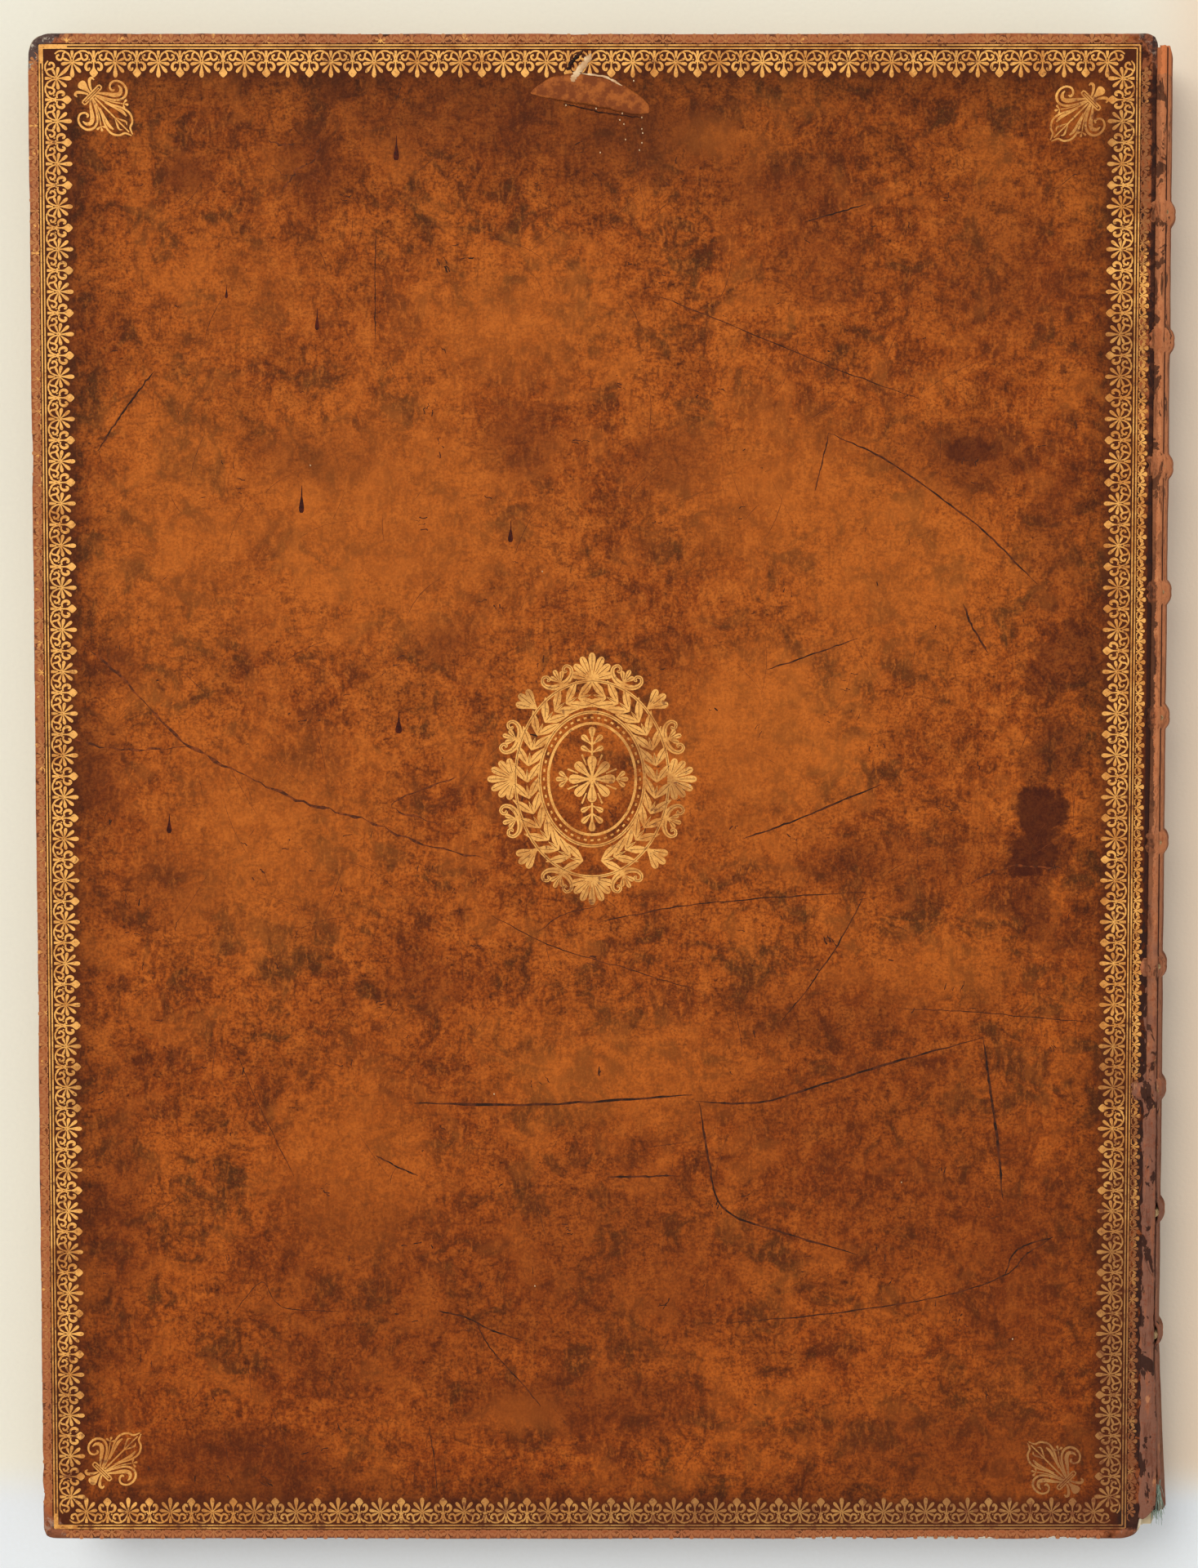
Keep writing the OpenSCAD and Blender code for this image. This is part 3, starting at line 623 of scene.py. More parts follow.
# %% Finishes of the inner pieces
INNER_FINISHES = {
    "board": pasteboard, "lacing": hemp, "pastedown": endpaper, "endleaf": endpaper,
    "lining": lining_paper, "sewing_cord": hemp}
for node_name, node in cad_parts.items():
    for word, finish in INNER_FINISHES.items():
        if word in node_name:
            for slot in node.material_slots:
                slot.material = finish
print("inner pieces finished")


# %% [markdown]
# ## The covers
# Each cover is a slab of board in a skin of leather. A sheet of cells that crowd towards the
# edges is bent into the rounded, worn outline, given a soft rim, and extruded down to the inside
# face. A board that old is never flat, so its face swells by a fraction of a millimetre.

# %% Helpers for making pieces
def finished(name, mesh_or_bmesh, body, material, replaced=(), smooth=True):
    """Turns a mesh in millimetres into a piece of the book that rides on a body."""
    mesh = mesh_or_bmesh
    if isinstance(mesh_or_bmesh, bmesh.types.BMesh):
        mesh = bpy.data.meshes.new(name)
        mesh_or_bmesh.to_mesh(mesh)
        mesh_or_bmesh.free()
    mesh.transform(Matrix.Scale(MM, 4))
    if smooth:
        mesh.shade_smooth()
    else:
        mesh.shade_flat()
    mesh.materials.clear()
    mesh.materials.append(material)
    piece = bpy.data.objects.new(name, mesh)
    bpy.context.scene.collection.objects.link(piece)
    if body:
        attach(piece, body)
    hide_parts(*replaced)
    print(name, len(mesh.polygons), "faces")
    return piece


def turn_over(bm):
    """Mirrors a piece of the back cover to the front cover's side."""
    bmesh.ops.scale(bm, vec=(1, 1, -1), verts=bm.verts)
    bmesh.ops.translate(bm, vec=(0, 0, TOP_Z), verts=bm.verts)
    bmesh.ops.reverse_faces(bm, faces=bm.faces)


def thickened(bm, thickness):
    """Gives a sheet of leather its thickness, with all faces outwards."""
    bmesh.ops.solidify(bm, geom=bm.faces[:], thickness=thickness)
    bmesh.ops.recalc_face_normals(bm, faces=bm.faces)
    return bm


def wave(x, y, size, seed):
    """Soft ups and downs between about -1 and 1, size millimetres apart."""
    return noise.noise(Vector((x / size, y / size, seed)))


def swell(x, y):
    """How far the face of a cover rises or falls from flat, without ever rising above it."""
    return 0.28 * (wave(x, y, 130, 2.5) + 0.5 * wave(x, y, 55, 7.5)) - 0.3


print("the face lies", round(-swell(MIDDLE_X, 0), 2), "mm low in its middle")

# %% The worn outline of a cover
CORNERS = {(-1, 1): 8.5, (-1, -1): 5.0, (1, 1): 5.0, (1, -1): 9.0}
RIM = 1.5
WEAR_REACH = 7
INSIDE_Z = cover_low.z
# Dents in the edge: pixel of the photograph, half length along the edge, depth
DENTS = [
    ((700, 44), 12, 0.3), ((545, 44), 6, 0.4), ((1025, 1882), 16, 0.5), ((1160, 1882), 18, 0.6),
    ((1300, 1882), 9, 0.5), ((45, 1794), 5, 0.5), ((47, 1831), 4, 0.7), ((400, 1880), 14, 0.35),
    ((36, 560), 12, 0.4), ((46, 1240), 16, 0.4), ((1411, 1868), 8, 1.8)]
DENT_PLACES = [(seen_at(*pixel), half, depth) for pixel, half, depth in DENTS]
print(len(DENT_PLACES), "dents in the edge")


def round_corner(x, y):
    """Bends the square corner of a sheet of cells into the worn round one."""
    side, end = (1 if x > MIDDLE_X else -1), (1 if y > 0 else -1)
    radius = CORNERS[side, end]
    half = JOINT_X - MIDDLE_X
    a = (abs(x - MIDDLE_X) - (half - radius)) / radius
    b = (abs(y) - (HEAD_Y - radius)) / radius
    if a <= 0 or b <= 0:
        return x, y
    a, b = a * math.sqrt(1 - b * b / 2), b * math.sqrt(1 - a * a / 2)
    return MIDDLE_X + side * (half - radius + a * radius), end * (HEAD_Y - radius + b * radius)


def worn_place(x, y, inward, seed, dents):
    """Moves a point near the edge by the wear of that edge."""
    hold = max(0.0, 1 - inward / WEAR_REACH)
    pull = 0.35 * (0.6 + wave(x, y, 34, seed)) + 0.16 * (1 + wave(x, y, 5, seed + 3))
    for place, half, depth in dents:
        away = (Vector((x, y)) - place).length / half
        if away < 1:
            pull += depth * (1 - away * away) ** 2
    if min(x - FORE_X, JOINT_X - x) < HEAD_Y - abs(y):
        return x + math.copysign(1, MIDDLE_X - x) * pull * hold, y
    return x, y - math.copysign(1, y) * pull * hold


# %% The skin of a cover
SLAB_COLUMNS, SLAB_ROWS = 100, 136
CROWDING = 1.6


def crowd(t):
    """Moves the lines of a sheet that runs from -1 to 1 towards its edges, where the shape is."""
    return math.copysign(1 - (1 - abs(t)) ** CROWDING, t) if abs(t) < 1 else t


def cover_slab(seed, dents):
    """The leather of one cover, with its worn outline, soft rim and swelling face."""
    bm = bmesh.new()
    bmesh.ops.create_grid(bm, x_segments=SLAB_COLUMNS, y_segments=SLAB_ROWS, size=1)
    half = JOINT_X - MIDDLE_X
    inward = {}
    for vert in bm.verts:
        x, y = MIDDLE_X + crowd(vert.co.x) * half, crowd(vert.co.y) * HEAD_Y
        depth = min(x - FORE_X, JOINT_X - x, HEAD_Y - abs(y))
        x, y = worn_place(*round_corner(x, y), depth, seed, dents)
        vert.co = (x, y, 0)
        inward[vert.index] = depth
    faces = bm.faces[:]
    top = bm.verts[:]
    made = bmesh.ops.extrude_face_region(bm, geom=faces, use_keep_orig=True)["geom"]
    low = [item for item in made if isinstance(item, bmesh.types.BMVert)]
    for vert, twin in zip(top, low):
        depth = inward[vert.index]
        drop = RIM - math.sqrt(max(0, RIM ** 2 - max(0, RIM - depth) ** 2))
        twin.co = (vert.co.x, vert.co.y, INSIDE_Z + drop * 0.4)
        vert.co.z = TOP_Z + swell(vert.co.x, vert.co.y) - drop
    bmesh.ops.recalc_face_normals(bm, faces=bm.faces)
    return bm


finished("back_cover_calf", cover_slab(4.0, DENT_PLACES), "back_cover", back_calf, ["back_leather"])
front_slab = cover_slab(14.0, [])
turn_over(front_slab)
finished("front_cover_calf", front_slab, "front_cover", front_calf, ["front_leather"])

# %% [markdown]
# ## The gilding
# A binder tools gold with engraved rolls and hand tools, whose lines swell and taper like pen
# strokes. So each ornament is drawn as strokes, a path with a thickness at each point, and a
# curve with a bevel turns the strokes into a low relief. One repeat of a roll is drawn once and
# stamped round the cover, as the wheel did it.

# %% A pen that draws in relief
RELIEF = 0.02
FINEST_STROKE = 0.04


def pen(strokes, flat=RELIEF, roundness=0):
    """A relief in millimetres from strokes, each a list of (x, y, half thickness) or (x, y, z, half)."""
    curve = bpy.data.curves.new("strokes", "CURVE")
    curve.dimensions = "3D"
    curve.bevel_depth = 1
    curve.bevel_resolution = roundness
    curve.use_fill_caps = True
    for stroke in strokes:
        spline = curve.splines.new("POLY")
        spline.points.add(len(stroke) - 1)
        for point, (*place, thick) in zip(spline.points, stroke):
            point.co = (*place, 0, 0)[:3] + (1,)
            point.radius = max(thick, FINEST_STROKE)
    holder = bpy.data.objects.new("strokes", curve)
    mesh = bpy.data.meshes.new_from_object(holder)
    mesh.transform(Matrix.Scale(flat, 4, (0, 0, 1)))
    bpy.data.objects.remove(holder)
    bpy.data.curves.remove(curve)
    return mesh


def stamp(bm, mesh, x, y, angle, size=1.0):
    """Presses a drawn ornament into place."""
    pressed = mesh.copy()
    turned = Matrix.Rotation(angle, 4, "Z") @ Matrix.Scale(size, 4)
    pressed.transform(Matrix.Translation((x, y, 0)) @ turned)
    bm.from_mesh(pressed)
    bpy.data.meshes.remove(pressed)


print("pen ready, its relief stands", RELIEF, "times as high as its strokes are wide")

# %% Petals, leaves and flowing lines
# How wide a shape is at each share of its length
ROUND_PETAL = ((0.0, 0.15), (0.34, 0.42), (0.64, 0.9), (0.82, 1.0), (0.94, 0.75), (1.0, 0.3))
POINTED_LEAF = ((0.0, 0.1), (0.2, 0.55), (0.42, 0.98), (0.62, 0.85), (0.82, 0.45), (1.0, 0.08))


def petal(x, y, angle, length, width, shape=ROUND_PETAL):
    """A petal or leaf that grows from x, y; the angle is counted from straight up, clockwise."""
    sway = Vector((math.sin(math.radians(angle)), math.cos(math.radians(angle))))
    return [(x + sway.x * t * length, y + sway.y * t * length, width / 2 * w) for t, w in shape]


def veins(strokes, least=0.5):
    """The lines left ungilt along the middle of every broad stroke."""
    broad = [stroke for stroke in strokes if max(point[2] for point in stroke) > least]
    return [[(*point[:2], 0.1) for point in stroke[1:-1]] for stroke in broad if len(stroke) > 4]


def flow(points, steps=3):
    """A rounded path through a few points, given as tuples of any length."""
    points = [Vector(point) for point in points]
    points = [points[0] * 2 - points[1]] + points + [points[-1] * 2 - points[-2]]
    path = []
    for i in range(1, len(points) - 2):
        a, b, c, d = points[i - 1:i + 3]
        for k in range(steps):
            t = k / steps
            path.append(0.5 * (2 * b + (c - a) * t + (2 * a - 5 * b + 4 * c - d) * t ** 2
                               + (3 * b - a - 3 * c + d) * t ** 3))
    return path + [points[-2]]


def mirrored(strokes):
    """The strokes together with their mirror images to the left."""
    return strokes + [[(-x, y, thick) for x, y, thick in stroke] for stroke in strokes]


print("petals, leaves and lines ready")

# %% [markdown]
# The lace roll alternates a seven-lobed palmette and a closed bud, tied together by scrolls that
# spring from the gilt line and curl in between them. A texture could show it, but would have no
# edge to catch the light, so half of each ornament is drawn in strokes and mirrored.

# %% The palmette roll and the small outer roll
LACE_PITCH = 15.6
SMALL_PITCH = 7.7


def palmette():
    """A fan of seven lobes, with an arch and a curl on each side that reach to the next bud."""
    half = LACE_PITCH / 2
    arch = [(1.5, 1.6, 0.26), (2.9, 0.6, 0.3), (half - 2.9, 0.6, 0.3), (half - 1.5, 1.6, 0.26)]
    curl = [(2.3, 0.9, 0.24), (3.2, 1.5, 0.34), (3.4, 2.8, 0.36), (4.2, 3.8, 0.4), (5.4, 3.4, 0.4),
            (5.6, 2.3, 0.36), (4.7, 2.0, 0.42)]
    lobes = [petal(0, 4.6, angle, length, width) for angle, length, width in
             ((40, 4.8, 1.3), (80, 4.1, 1.3), (113, 3.6, 0.95))]
    foot = [(0.25, 4.3, 0.25), (0.6, 2.9, 0.28), (1.4, 1.5, 0.34), (2.5, 0.8, 0.3)]
    spear = [(0, 0.4, 0.5), (0, 1.3, 0.55), (0, 2.9, 0.2)]
    return mirrored([flow(arch, 2), flow(curl, 2), foot] + lobes) + [spear, petal(0, 4.5, 0, 5.6, 1.6)]


def bud():
    """A closed bud between two petals that curl inwards."""
    curled = [(0.6, 4.9, 0.2), (1.6, 4.6, 0.36), (2.6, 5.2, 0.48), (2.9, 6.4, 0.55), (2.4, 7.3, 0.5),
              (1.7, 7.2, 0.4), (1.6, 6.5, 0.28)]
    tie = [(-0.9, 4.2, 0.3), (0.9, 4.2, 0.3)]
    foot = [(0.2, 4.0, 0.25), (0.5, 2.6, 0.28), (1.1, 1.5, 0.32), (1.9, 0.8, 0.28)]
    ball = [(1.4, 3.7, 0.3), (1.8, 3.6, 0.3)]
    spear = [(0, 0.4, 0.45), (0, 1.3, 0.5), (0, 2.9, 0.2)]
    heart = [(0, 4.4, 0.3), (0, 6.0, 0.25), (0, 6.9, 0.5), (0, 7.6, 1.05), (0, 8.3, 1.55), (0, 8.9, 1.35),
             (0, 9.5, 0.8), (0, 10.0, 0.2)]
    return mirrored([flow(curled, 2), foot, ball]) + [tie, spear, heart]


def small_repeat():
    """The outer roll: a broad tulip and a small fan in turn, on a running line of arches."""
    half = SMALL_PITCH / 2
    arch = [(0.3, 1.2, 0.15), (1.1, 0.35, 0.2), (half - 1.1, 0.35, 0.2), (half - 0.3, 1.2, 0.15)]
    second = [(2 * half - x, y, thick) for x, y, thick in arch]
    tulip = [petal(0, 1.1, angle, length, width) for angle, length, width in
             ((-62, 2.2, 1.4), (0, 2.6, 1.7), (62, 2.2, 1.4))]
    small_fan = [petal(half, 0.9, angle, 2.5, 1.1) for angle in (-46, 0, 46)]
    stems = [[(0, 0.3, 0.3), (0, 1.3, 0.4)], [(half, 0.3, 0.25), (half, 1.1, 0.35)]]
    return [arch, second] + stems + tulip + small_fan


print("a palmette has", len(palmette()), "strokes, a bud", len(bud()))

# %% A roll that runs round the cover
# The corners in turn, each as 0 or 1 along x and y, and each side with the angle that it runs at
CORNER_RING = [(0, 0), (1, 0), (1, 1), (0, 1)]
SIDES = [(CORNER_RING[i], CORNER_RING[(i + 1) % 4], i * math.pi / 2) for i in range(4)]


def corner_place(corner, inset):
    """A corner of a frame that runs this far inside the outer gilt line."""
    low_x, high_x = FORE_X + GILT_MARGIN + inset, JOINT_X - GILT_MARGIN_JOINT - inset
    high_y = HEAD_Y - GILT_MARGIN - inset
    return Vector((high_x if corner[0] else low_x, high_y if corner[1] else -high_y))


def roll(bm, meshes, pitch, inset, ends, turn=0.0):
    """Runs a roll round the four sides. The second drawing, where there is one, goes in between."""
    for start, end, angle in SIDES:
        first, last = corner_place(start, inset), corner_place(end, inset)
        length = (last - first).length - 2 * ends
        count = round(length / pitch)
        along = (last - first).normalized()
        for i in range(count + 1):
            for k, mesh in enumerate(meshes):
                step = i + k / 2
                if step <= count:
                    place = first + along * (ends + length * step / count)
                    stamp(bm, mesh, place.x, place.y, angle + turn)


print("the lace runs between", corner_place((0, 0), LACE_START - GILT_MARGIN), "and",
      corner_place((1, 1), LACE_START - GILT_MARGIN))

# %% [markdown]
# The four lilies are a common ornament of the time. Each has a pointed middle petal with veins,
# two petals that curl over, small florets between them, and a tie above a short foot. Only the
# right half is drawn. The tie lies at the pen's own zero, so it is also where a lily is placed.

# %% The corner lily
LILY_PEN = 0.76


def lily():
    """An upright lily, nearly three centimetres tall."""
    middle = [(0.7, 1.0, 0.36), (1.4, 4.0, 0.38), (2.6, 7.6, 0.4), (4.2, 10.6, 0.46), (5.1, 13.4, 0.5),
              (4.9, 15.8, 0.5), (3.4, 17.9, 0.5), (1.4, 18.8, 0.48), (0.3, 21.2, 0.25)]
    rib = [(1.3, 5.4, 0.2), (2.7, 9.5, 0.5), (3.6, 12.4, 0.75), (3.5, 14.8, 0.35)]
    low_vein = [(0.3, 12.4, 0.12), (1.3, 14.6, 0.42), (1.9, 16.2, 0.45), (1.2, 17.2, 0.12)]
    outer = [(1.2, 1.3, 0.36), (2.8, 4.6, 0.45), (5.2, 8.0, 0.55), (8.0, 9.2, 0.6), (10.4, 8.0, 0.6),
             (11.2, 5.4, 0.55), (10.4, 3.0, 0.5), (8.4, 1.9, 0.5), (6.7, 2.8, 0.5), (6.5, 4.3, 0.6),
             (7.4, 4.6, 0.3)]
    inner = [(1.9, 0.9, 0.34), (4.0, 3.4, 0.75), (5.9, 6.0, 1.05), (7.8, 7.1, 1.0), (9.3, 6.0, 0.7),
             (9.5, 4.4, 0.25)]
    stem = [(1.3, 2.6, 0.24), (3.4, 7.0, 0.26), (5.8, 10.4, 0.24)]
    foot = [(0.9, -1.2, 0.42), (1.9, -3.0, 0.6), (3.3, -4.6, 0.75), (4.5, -4.5, 0.6), (4.5, -3.4, 0.3)]
    floret = [petal(6.0, 10.6, angle, 2.0, 1.2) for angle in (-36, 30, 95)]
    strokes = [flow(stroke) for stroke in (middle, rib, low_vein, outer, inner, stem, foot)]
    strokes = mirrored(strokes + floret)
    strokes = [[(x, y, thick * LILY_PEN) for x, y, thick in stroke] for stroke in strokes]
    tie = [(-4.0, 0.8, 0.3), (4.0, 0.8, 0.3), (4.6, 0.5, 0.3), (4.6, -0.5, 0.3), (4.0, -0.8, 0.3),
           (-4.0, -0.8, 0.3), (-4.6, -0.5, 0.3), (-4.6, 0.5, 0.3), (-4.0, 0.8, 0.3)]
    strokes += [tie, [(-3.6, 0, 0.22), (3.6, 0, 0.22)], [(0, 1.4, 0.34), (0, 10.0, 0.28), (0, 19.6, 0.24)],
                petal(0, -1.0, 180, 5.6, 3.4)]
    return strokes


# Where each lily's tie was seen in the photograph
LILIES = [((112.5, 116), (1, -1)), ((1336, 123), (-1, -1)), ((125, 1802), (1, 1)), ((1306, 1813), (-1, 1))]
print("a lily has", len(lily()), "strokes")

# %% [markdown]
# The ornament in the middle is an oval: a rosette on a plain field, a beaded ring, a wreath of
# laurel, and scrolls with small fans outside it. Each part is drawn once, pointing up, and then
# set along the oval, turned to point away from it.

# %% Places along the oval
OVAL_W, OVAL_H = 36.0, 46.0
CENTRE_SEEN = (725, 954)
CENTRE_PLACE = seen_at(*CENTRE_SEEN)


def oval_point(turn, size):
    """A point of an oval and the way out from it; turn runs from 0 to 1."""
    angle = turn * math.tau
    out = Vector((math.cos(angle) / OVAL_W, math.sin(angle) / OVAL_H)).normalized()
    return Vector((math.cos(angle) * OVAL_W * size, math.sin(angle) * OVAL_H * size)), out


def ring(size, thick, points=72):
    """A line along the whole oval."""
    return [(*oval_point(i / points, size)[0], thick) for i in range(points + 1)]


def moved(strokes, place, angle, size=1.0):
    """Turns strokes drawn upwards so that they point along an angle, and puts them in place."""
    turn = Matrix.Rotation(angle - math.pi / 2, 2)
    return [[(*(place + turn @ Vector((x, y)) * size), thick * size) for x, y, thick in stroke]
            for stroke in strokes]


print("the oval is", 2 * OVAL_W, "by", 2 * OVAL_H, "mm, round", CENTRE_PLACE)

# %% The centre ornament
BEADS = 44


def fan(pairs, length, width, step):
    """Petals spread by a step in degrees, with pairs on each side of the middle one."""
    return [petal(0, 0, k * step, length * (1 - 0.07 * abs(k)), width) for k in range(-pairs, pairs + 1)]


def laurel(side, leaves=15):
    """One branch of the wreath, from the foot of the oval up to its head."""
    strokes = []
    for i in range(leaves):
        place, out = oval_point(-0.25 + side * (i + 0.7) / leaves * 0.475, 0.665)
        along = math.atan2(out.y, out.x) + side * math.pi / 2
        for lean, length, width in ((-0.62, 9.4, 3.0), (0.0, 5.0, 1.1), (0.62, 9.4, 3.0)):
            strokes += moved([petal(0, 0, 0, length, width, POINTED_LEAF)], place, along + lean)
    return strokes


def double_scroll():
    """A scroll that curls in at both ends, with a small fan between them."""
    half = [(0, -0.5, 1.1), (3.0, -0.1, 1.05), (5.4, 1.5, 0.85), (6.2, 3.7, 0.7), (5.0, 5.3, 0.62),
            (3.4, 4.7, 0.6), (3.5, 3.4, 0.6), (4.4, 3.5, 0.35)]
    return mirrored([flow(half)]) + [petal(0, 0.4, angle, length, 1.9) for angle, length in
                                     ((-34, 4.6), (0, 5.6), (34, 4.6))]


def centre_ornament():
    """Rings, beads, wreath, scrolls and fans, and the rosette with a spray above and below it."""
    strokes = [ring(0.45, 0.5), ring(0.54, 0.6), ring(0.79, 0.55)]
    for i in range(BEADS):
        place, out = oval_point(i / BEADS, 0.495)
        strokes.append([(*(place - out * 0.35), 0.55), (*(place + out * 0.35), 0.55)])
    strokes += laurel(-1) + laurel(1)
    for i in range(8):
        place, out = oval_point((i + 0.5) / 8, 0.83)
        strokes += moved(double_scroll(), place, math.atan2(out.y, out.x), 0.95)
        place, out = oval_point(i / 8, 0.8)
        pairs, length = (1, 8.6) if i % 2 else (3, 10.0)
        strokes += moved(fan(pairs, length, 2.7, 25), place, math.atan2(out.y, out.x))
    strokes += [petal(0, 0, 45 * k, 8.6, 3.5) for k in range(8)]
    for k in range(8):
        strokes += moved([[(0, 5.6, 0.2), (0, 9.8, 0.36)]], Vector((0, 0)), math.radians(22.5 + 45 * k))
    for way in (-1, 1):
        spray = [[(0, 0, 0.35), (0, 7.6, 0.4)], petal(0, 5.2, 0, 5.4, 2.6)]
        spray += mirrored([petal(0, 3.8, 46, 5.2, 2.2), petal(0, 1.0, 62, 4.6, 2.0)])
        strokes += moved(spray, Vector((0, way * 8.8)), way * math.pi / 2)
        strokes += moved(fan(1, 4.6, 1.8, 40), Vector((way * 8.8, 0)), way * math.pi / 2 - math.pi / 2)
    return strokes


print("the centre ornament has", len(centre_ornament()), "strokes")

# %% [markdown]
# The gold of a cover is three pieces: in one piece it would have over 200,000 triangles. All of
# it follows the swell of the face. Where a broad petal has a vein left ungilt, a dark line lies on
# the gold, because a slot cut through each petal would need many more faces for the same look.

# %% All the gold of one cover
LINES_SEED = 5
GILT_LIFT, VEIN_LIFT = 0.03, 0.075


def gilt_lines(seed):
    """The two lines, uneven as a hand guides them, and doubled where a corner was gone over."""
    dice = random.Random(seed)
    strokes = []
    for inset, thick in ((0.1, 0.26), (1.2, 0.26)):
        corners = [corner_place(start, inset) for start, _, _ in SIDES]
        for i in range(4):
            first, last = corners[i], corners[(i + 1) % 4]
            points = [first.lerp(last, k / 60) for k in range(61)]
            strokes.append([(p.x, p.y, thick * dice.uniform(0.85, 1.15)) for p in points])
    for corner, reach in (((0, 1), 6), ((0, 0), 5)):
        place = corner_place(corner, 0.7)
        down = -1 if corner[1] else 1
        strokes.append([(place.x, place.y + down * reach, 0.4), (place.x, place.y, 0.8),
                        (place.x + reach * 0.8, place.y, 0.7), (place.x + reach * 1.6, place.y, 0.2)])
    return strokes


def laid_in_leather(bm, lift):
    """Lets a flat drawing follow the swell of the cover, lifted by a hair."""
    for vert in bm.verts:
        vert.co.z += TOP_Z + swell(vert.co.x, vert.co.y) + lift
    return bm


def gilt_lace():
    """The palmettes and buds."""
    bm = bmesh.new()
    roll(bm, [pen(palmette()), pen(bud())], LACE_PITCH, LACE_START - GILT_MARGIN, 10.4)
    return laid_in_leather(bm, GILT_LIFT)


def gilt_border():
    """The two ruled lines and the small roll outside them."""
    bm = bmesh.new()
    roll(bm, [pen(small_repeat())], SMALL_PITCH, -0.35, 10.5, math.pi)
    stamp(bm, pen(gilt_lines(LINES_SEED)), 0, 0, 0)
    return laid_in_leather(bm, GILT_LIFT)


def gilt_ornaments():
    """The four lilies and the oval."""
    bm = bmesh.new()
    drawn_lily = pen(lily())
    for pixel, way in LILIES:
        place = seen_at(*pixel)
        stamp(bm, drawn_lily, place.x, place.y, math.atan2(way[1], way[0]) - math.pi / 2, 0.97)
    stamp(bm, pen(centre_ornament()), CENTRE_PLACE.x, CENTRE_PLACE.y, 0)
    return laid_in_leather(bm, GILT_LIFT)


def centre_veins():
    """The dark veins of the oval's petals and leaves."""
    bm = bmesh.new()
    stamp(bm, pen(veins(centre_ornament())), CENTRE_PLACE.x, CENTRE_PLACE.y, 0)
    return laid_in_leather(bm, VEIN_LIFT)


print("gilding ready to be laid")

# %% The gold laid on both covers
ungilt = mark_finish("ungilt_lines", srgb(150, 88, 40), srgb(96, 48, 20), 58.0, 3.0)
GILT_PIECES = {
    "gilt_lace": (gilt_lace, "gold_leaf", back_gold, front_gold),
    "gilt_border": (gilt_border, "gold_leaf", back_gold, front_gold),
    "gilt_ornaments": (gilt_ornaments, "gold_leaf", back_gold, front_gold),
    "ungilt_veins": (centre_veins, "calf", ungilt, ungilt)}
for name, (draw, slot, back_finish, front_finish) in GILT_PIECES.items():
    finished("back_cover_" + name, draw(), "back_cover", back_finish, ["back_gilding"], False)
    front_gilt = draw()
    turn_over(front_gilt)
    finished("front_cover_" + name, front_gilt, "front_cover", front_finish, ["front_gilding"], False)

# %% [markdown]
# ## The spine
# The leather over the spine is one sheet: an arc from groove to groove, with a ridge over each
# pair of cords. It is a sheet of cells bent round the arc and raised at the bands. Below the last
# band it has come loose at the tail and swings outwards, and both its ends are torn.

# %% The leather of the spine
spine_low, spine_high = [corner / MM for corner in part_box("spine_leather")]
cord_boxes = sorted((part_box(name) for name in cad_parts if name.startswith("sewing_cord")),
                    key=lambda box: -box[0].y)
BANDS = [(low.y + high.y) / 2 / MM for low, high in cord_boxes]
# How far the spine stands out past the boards, and the groove at its edge: width and depth
SPINE_REACH, GROOVE_W, GROOVE_D = 7.4, 2.2, 0.8
ARC_HALF = MIDDLE_Z - GROOVE_D
ARC_SAG = SPINE_REACH - GROOVE_W
SPINE_R = (ARC_HALF ** 2 + ARC_SAG ** 2) / (2 * ARC_SAG)
ARC_X = JOINT_X + SPINE_REACH - SPINE_R
ARC_TURN = math.asin(ARC_HALF / SPINE_R)
BAND_RISE, BAND_HALF = 1.7, 3.9
SPINE_COLUMNS, SPINE_ROWS = 34, 640
SPINE_THICK = 0.9
FLAP_LIFT = 3.4
CRACK_TOP = BANDS[7]
spine_calf = rubbed_calf("calf_spine", 71.0, 0.58)
joint_calf = rubbed_calf("calf_joints", 77.0, 0.56)
print("bands at", [round(y, 1) for y in BANDS], "spine radius", round(SPINE_R, 2))


def band_height(y):
    """How far the leather stands up over the cords at this place along the spine."""
    away = min(abs(y - band) for band in BANDS)
    ridge = max(0.0, 1 - (away / (BAND_HALF * 1.15)) ** 2.4) ** 0.8
    return BAND_RISE * (ridge - 0.12 * math.exp(-(away / 0.8) ** 2))


def flap_shift(y):
    """How far the loose leather at the tail has swung out."""
    start, end = BANDS[-1] - 3, spine_low.y
    return FLAP_LIFT * max(0.0, (start - y) / (start - end)) ** 1.15


def crack_open(y):
    """How far the crack has opened: 0 at its upper end, 1 from a centimetre below it."""
    return max(0.0, min(1.0, (CRACK_TOP - y) / 10))


# Outside the arc the leather dips into the groove: out from the arc's end, and down
LIP = [(-0.8, 0.1), (-1.4, 0.25), (-1.9, 0.4)]


def across_spine(column, columns, away, ridge, cracked):
    """The profile of the spine, its lips and its arc, at a distance from the arc's centre. A band
    dies out at the lips, which leaves room for a cover that is opened flat."""
    lips = len(LIP)
    from_end = min(column, columns - column)
    side = 1 if column > columns / 2 else -1
    turn = max(-1.0, min(1.0, (column - columns / 2) / (columns / 2 - lips)))
    if side > 0:
        turn *= 1 - 0.19 * cracked
    away += ridge * (1 - 0.75 * max(0.0, abs(turn) / 0.2 - 4))
    x = ARC_X + away * math.cos(turn * ARC_TURN)
    z = MIDDLE_Z + away * math.sin(turn * ARC_TURN)
    if from_end < lips:
        step, drop = LIP[lips - 1 - from_end]
        x += step * (1 - 0.6 * cracked * (side > 0))
        z -= side * drop
    return x, z, turn


print("spine profile ready")

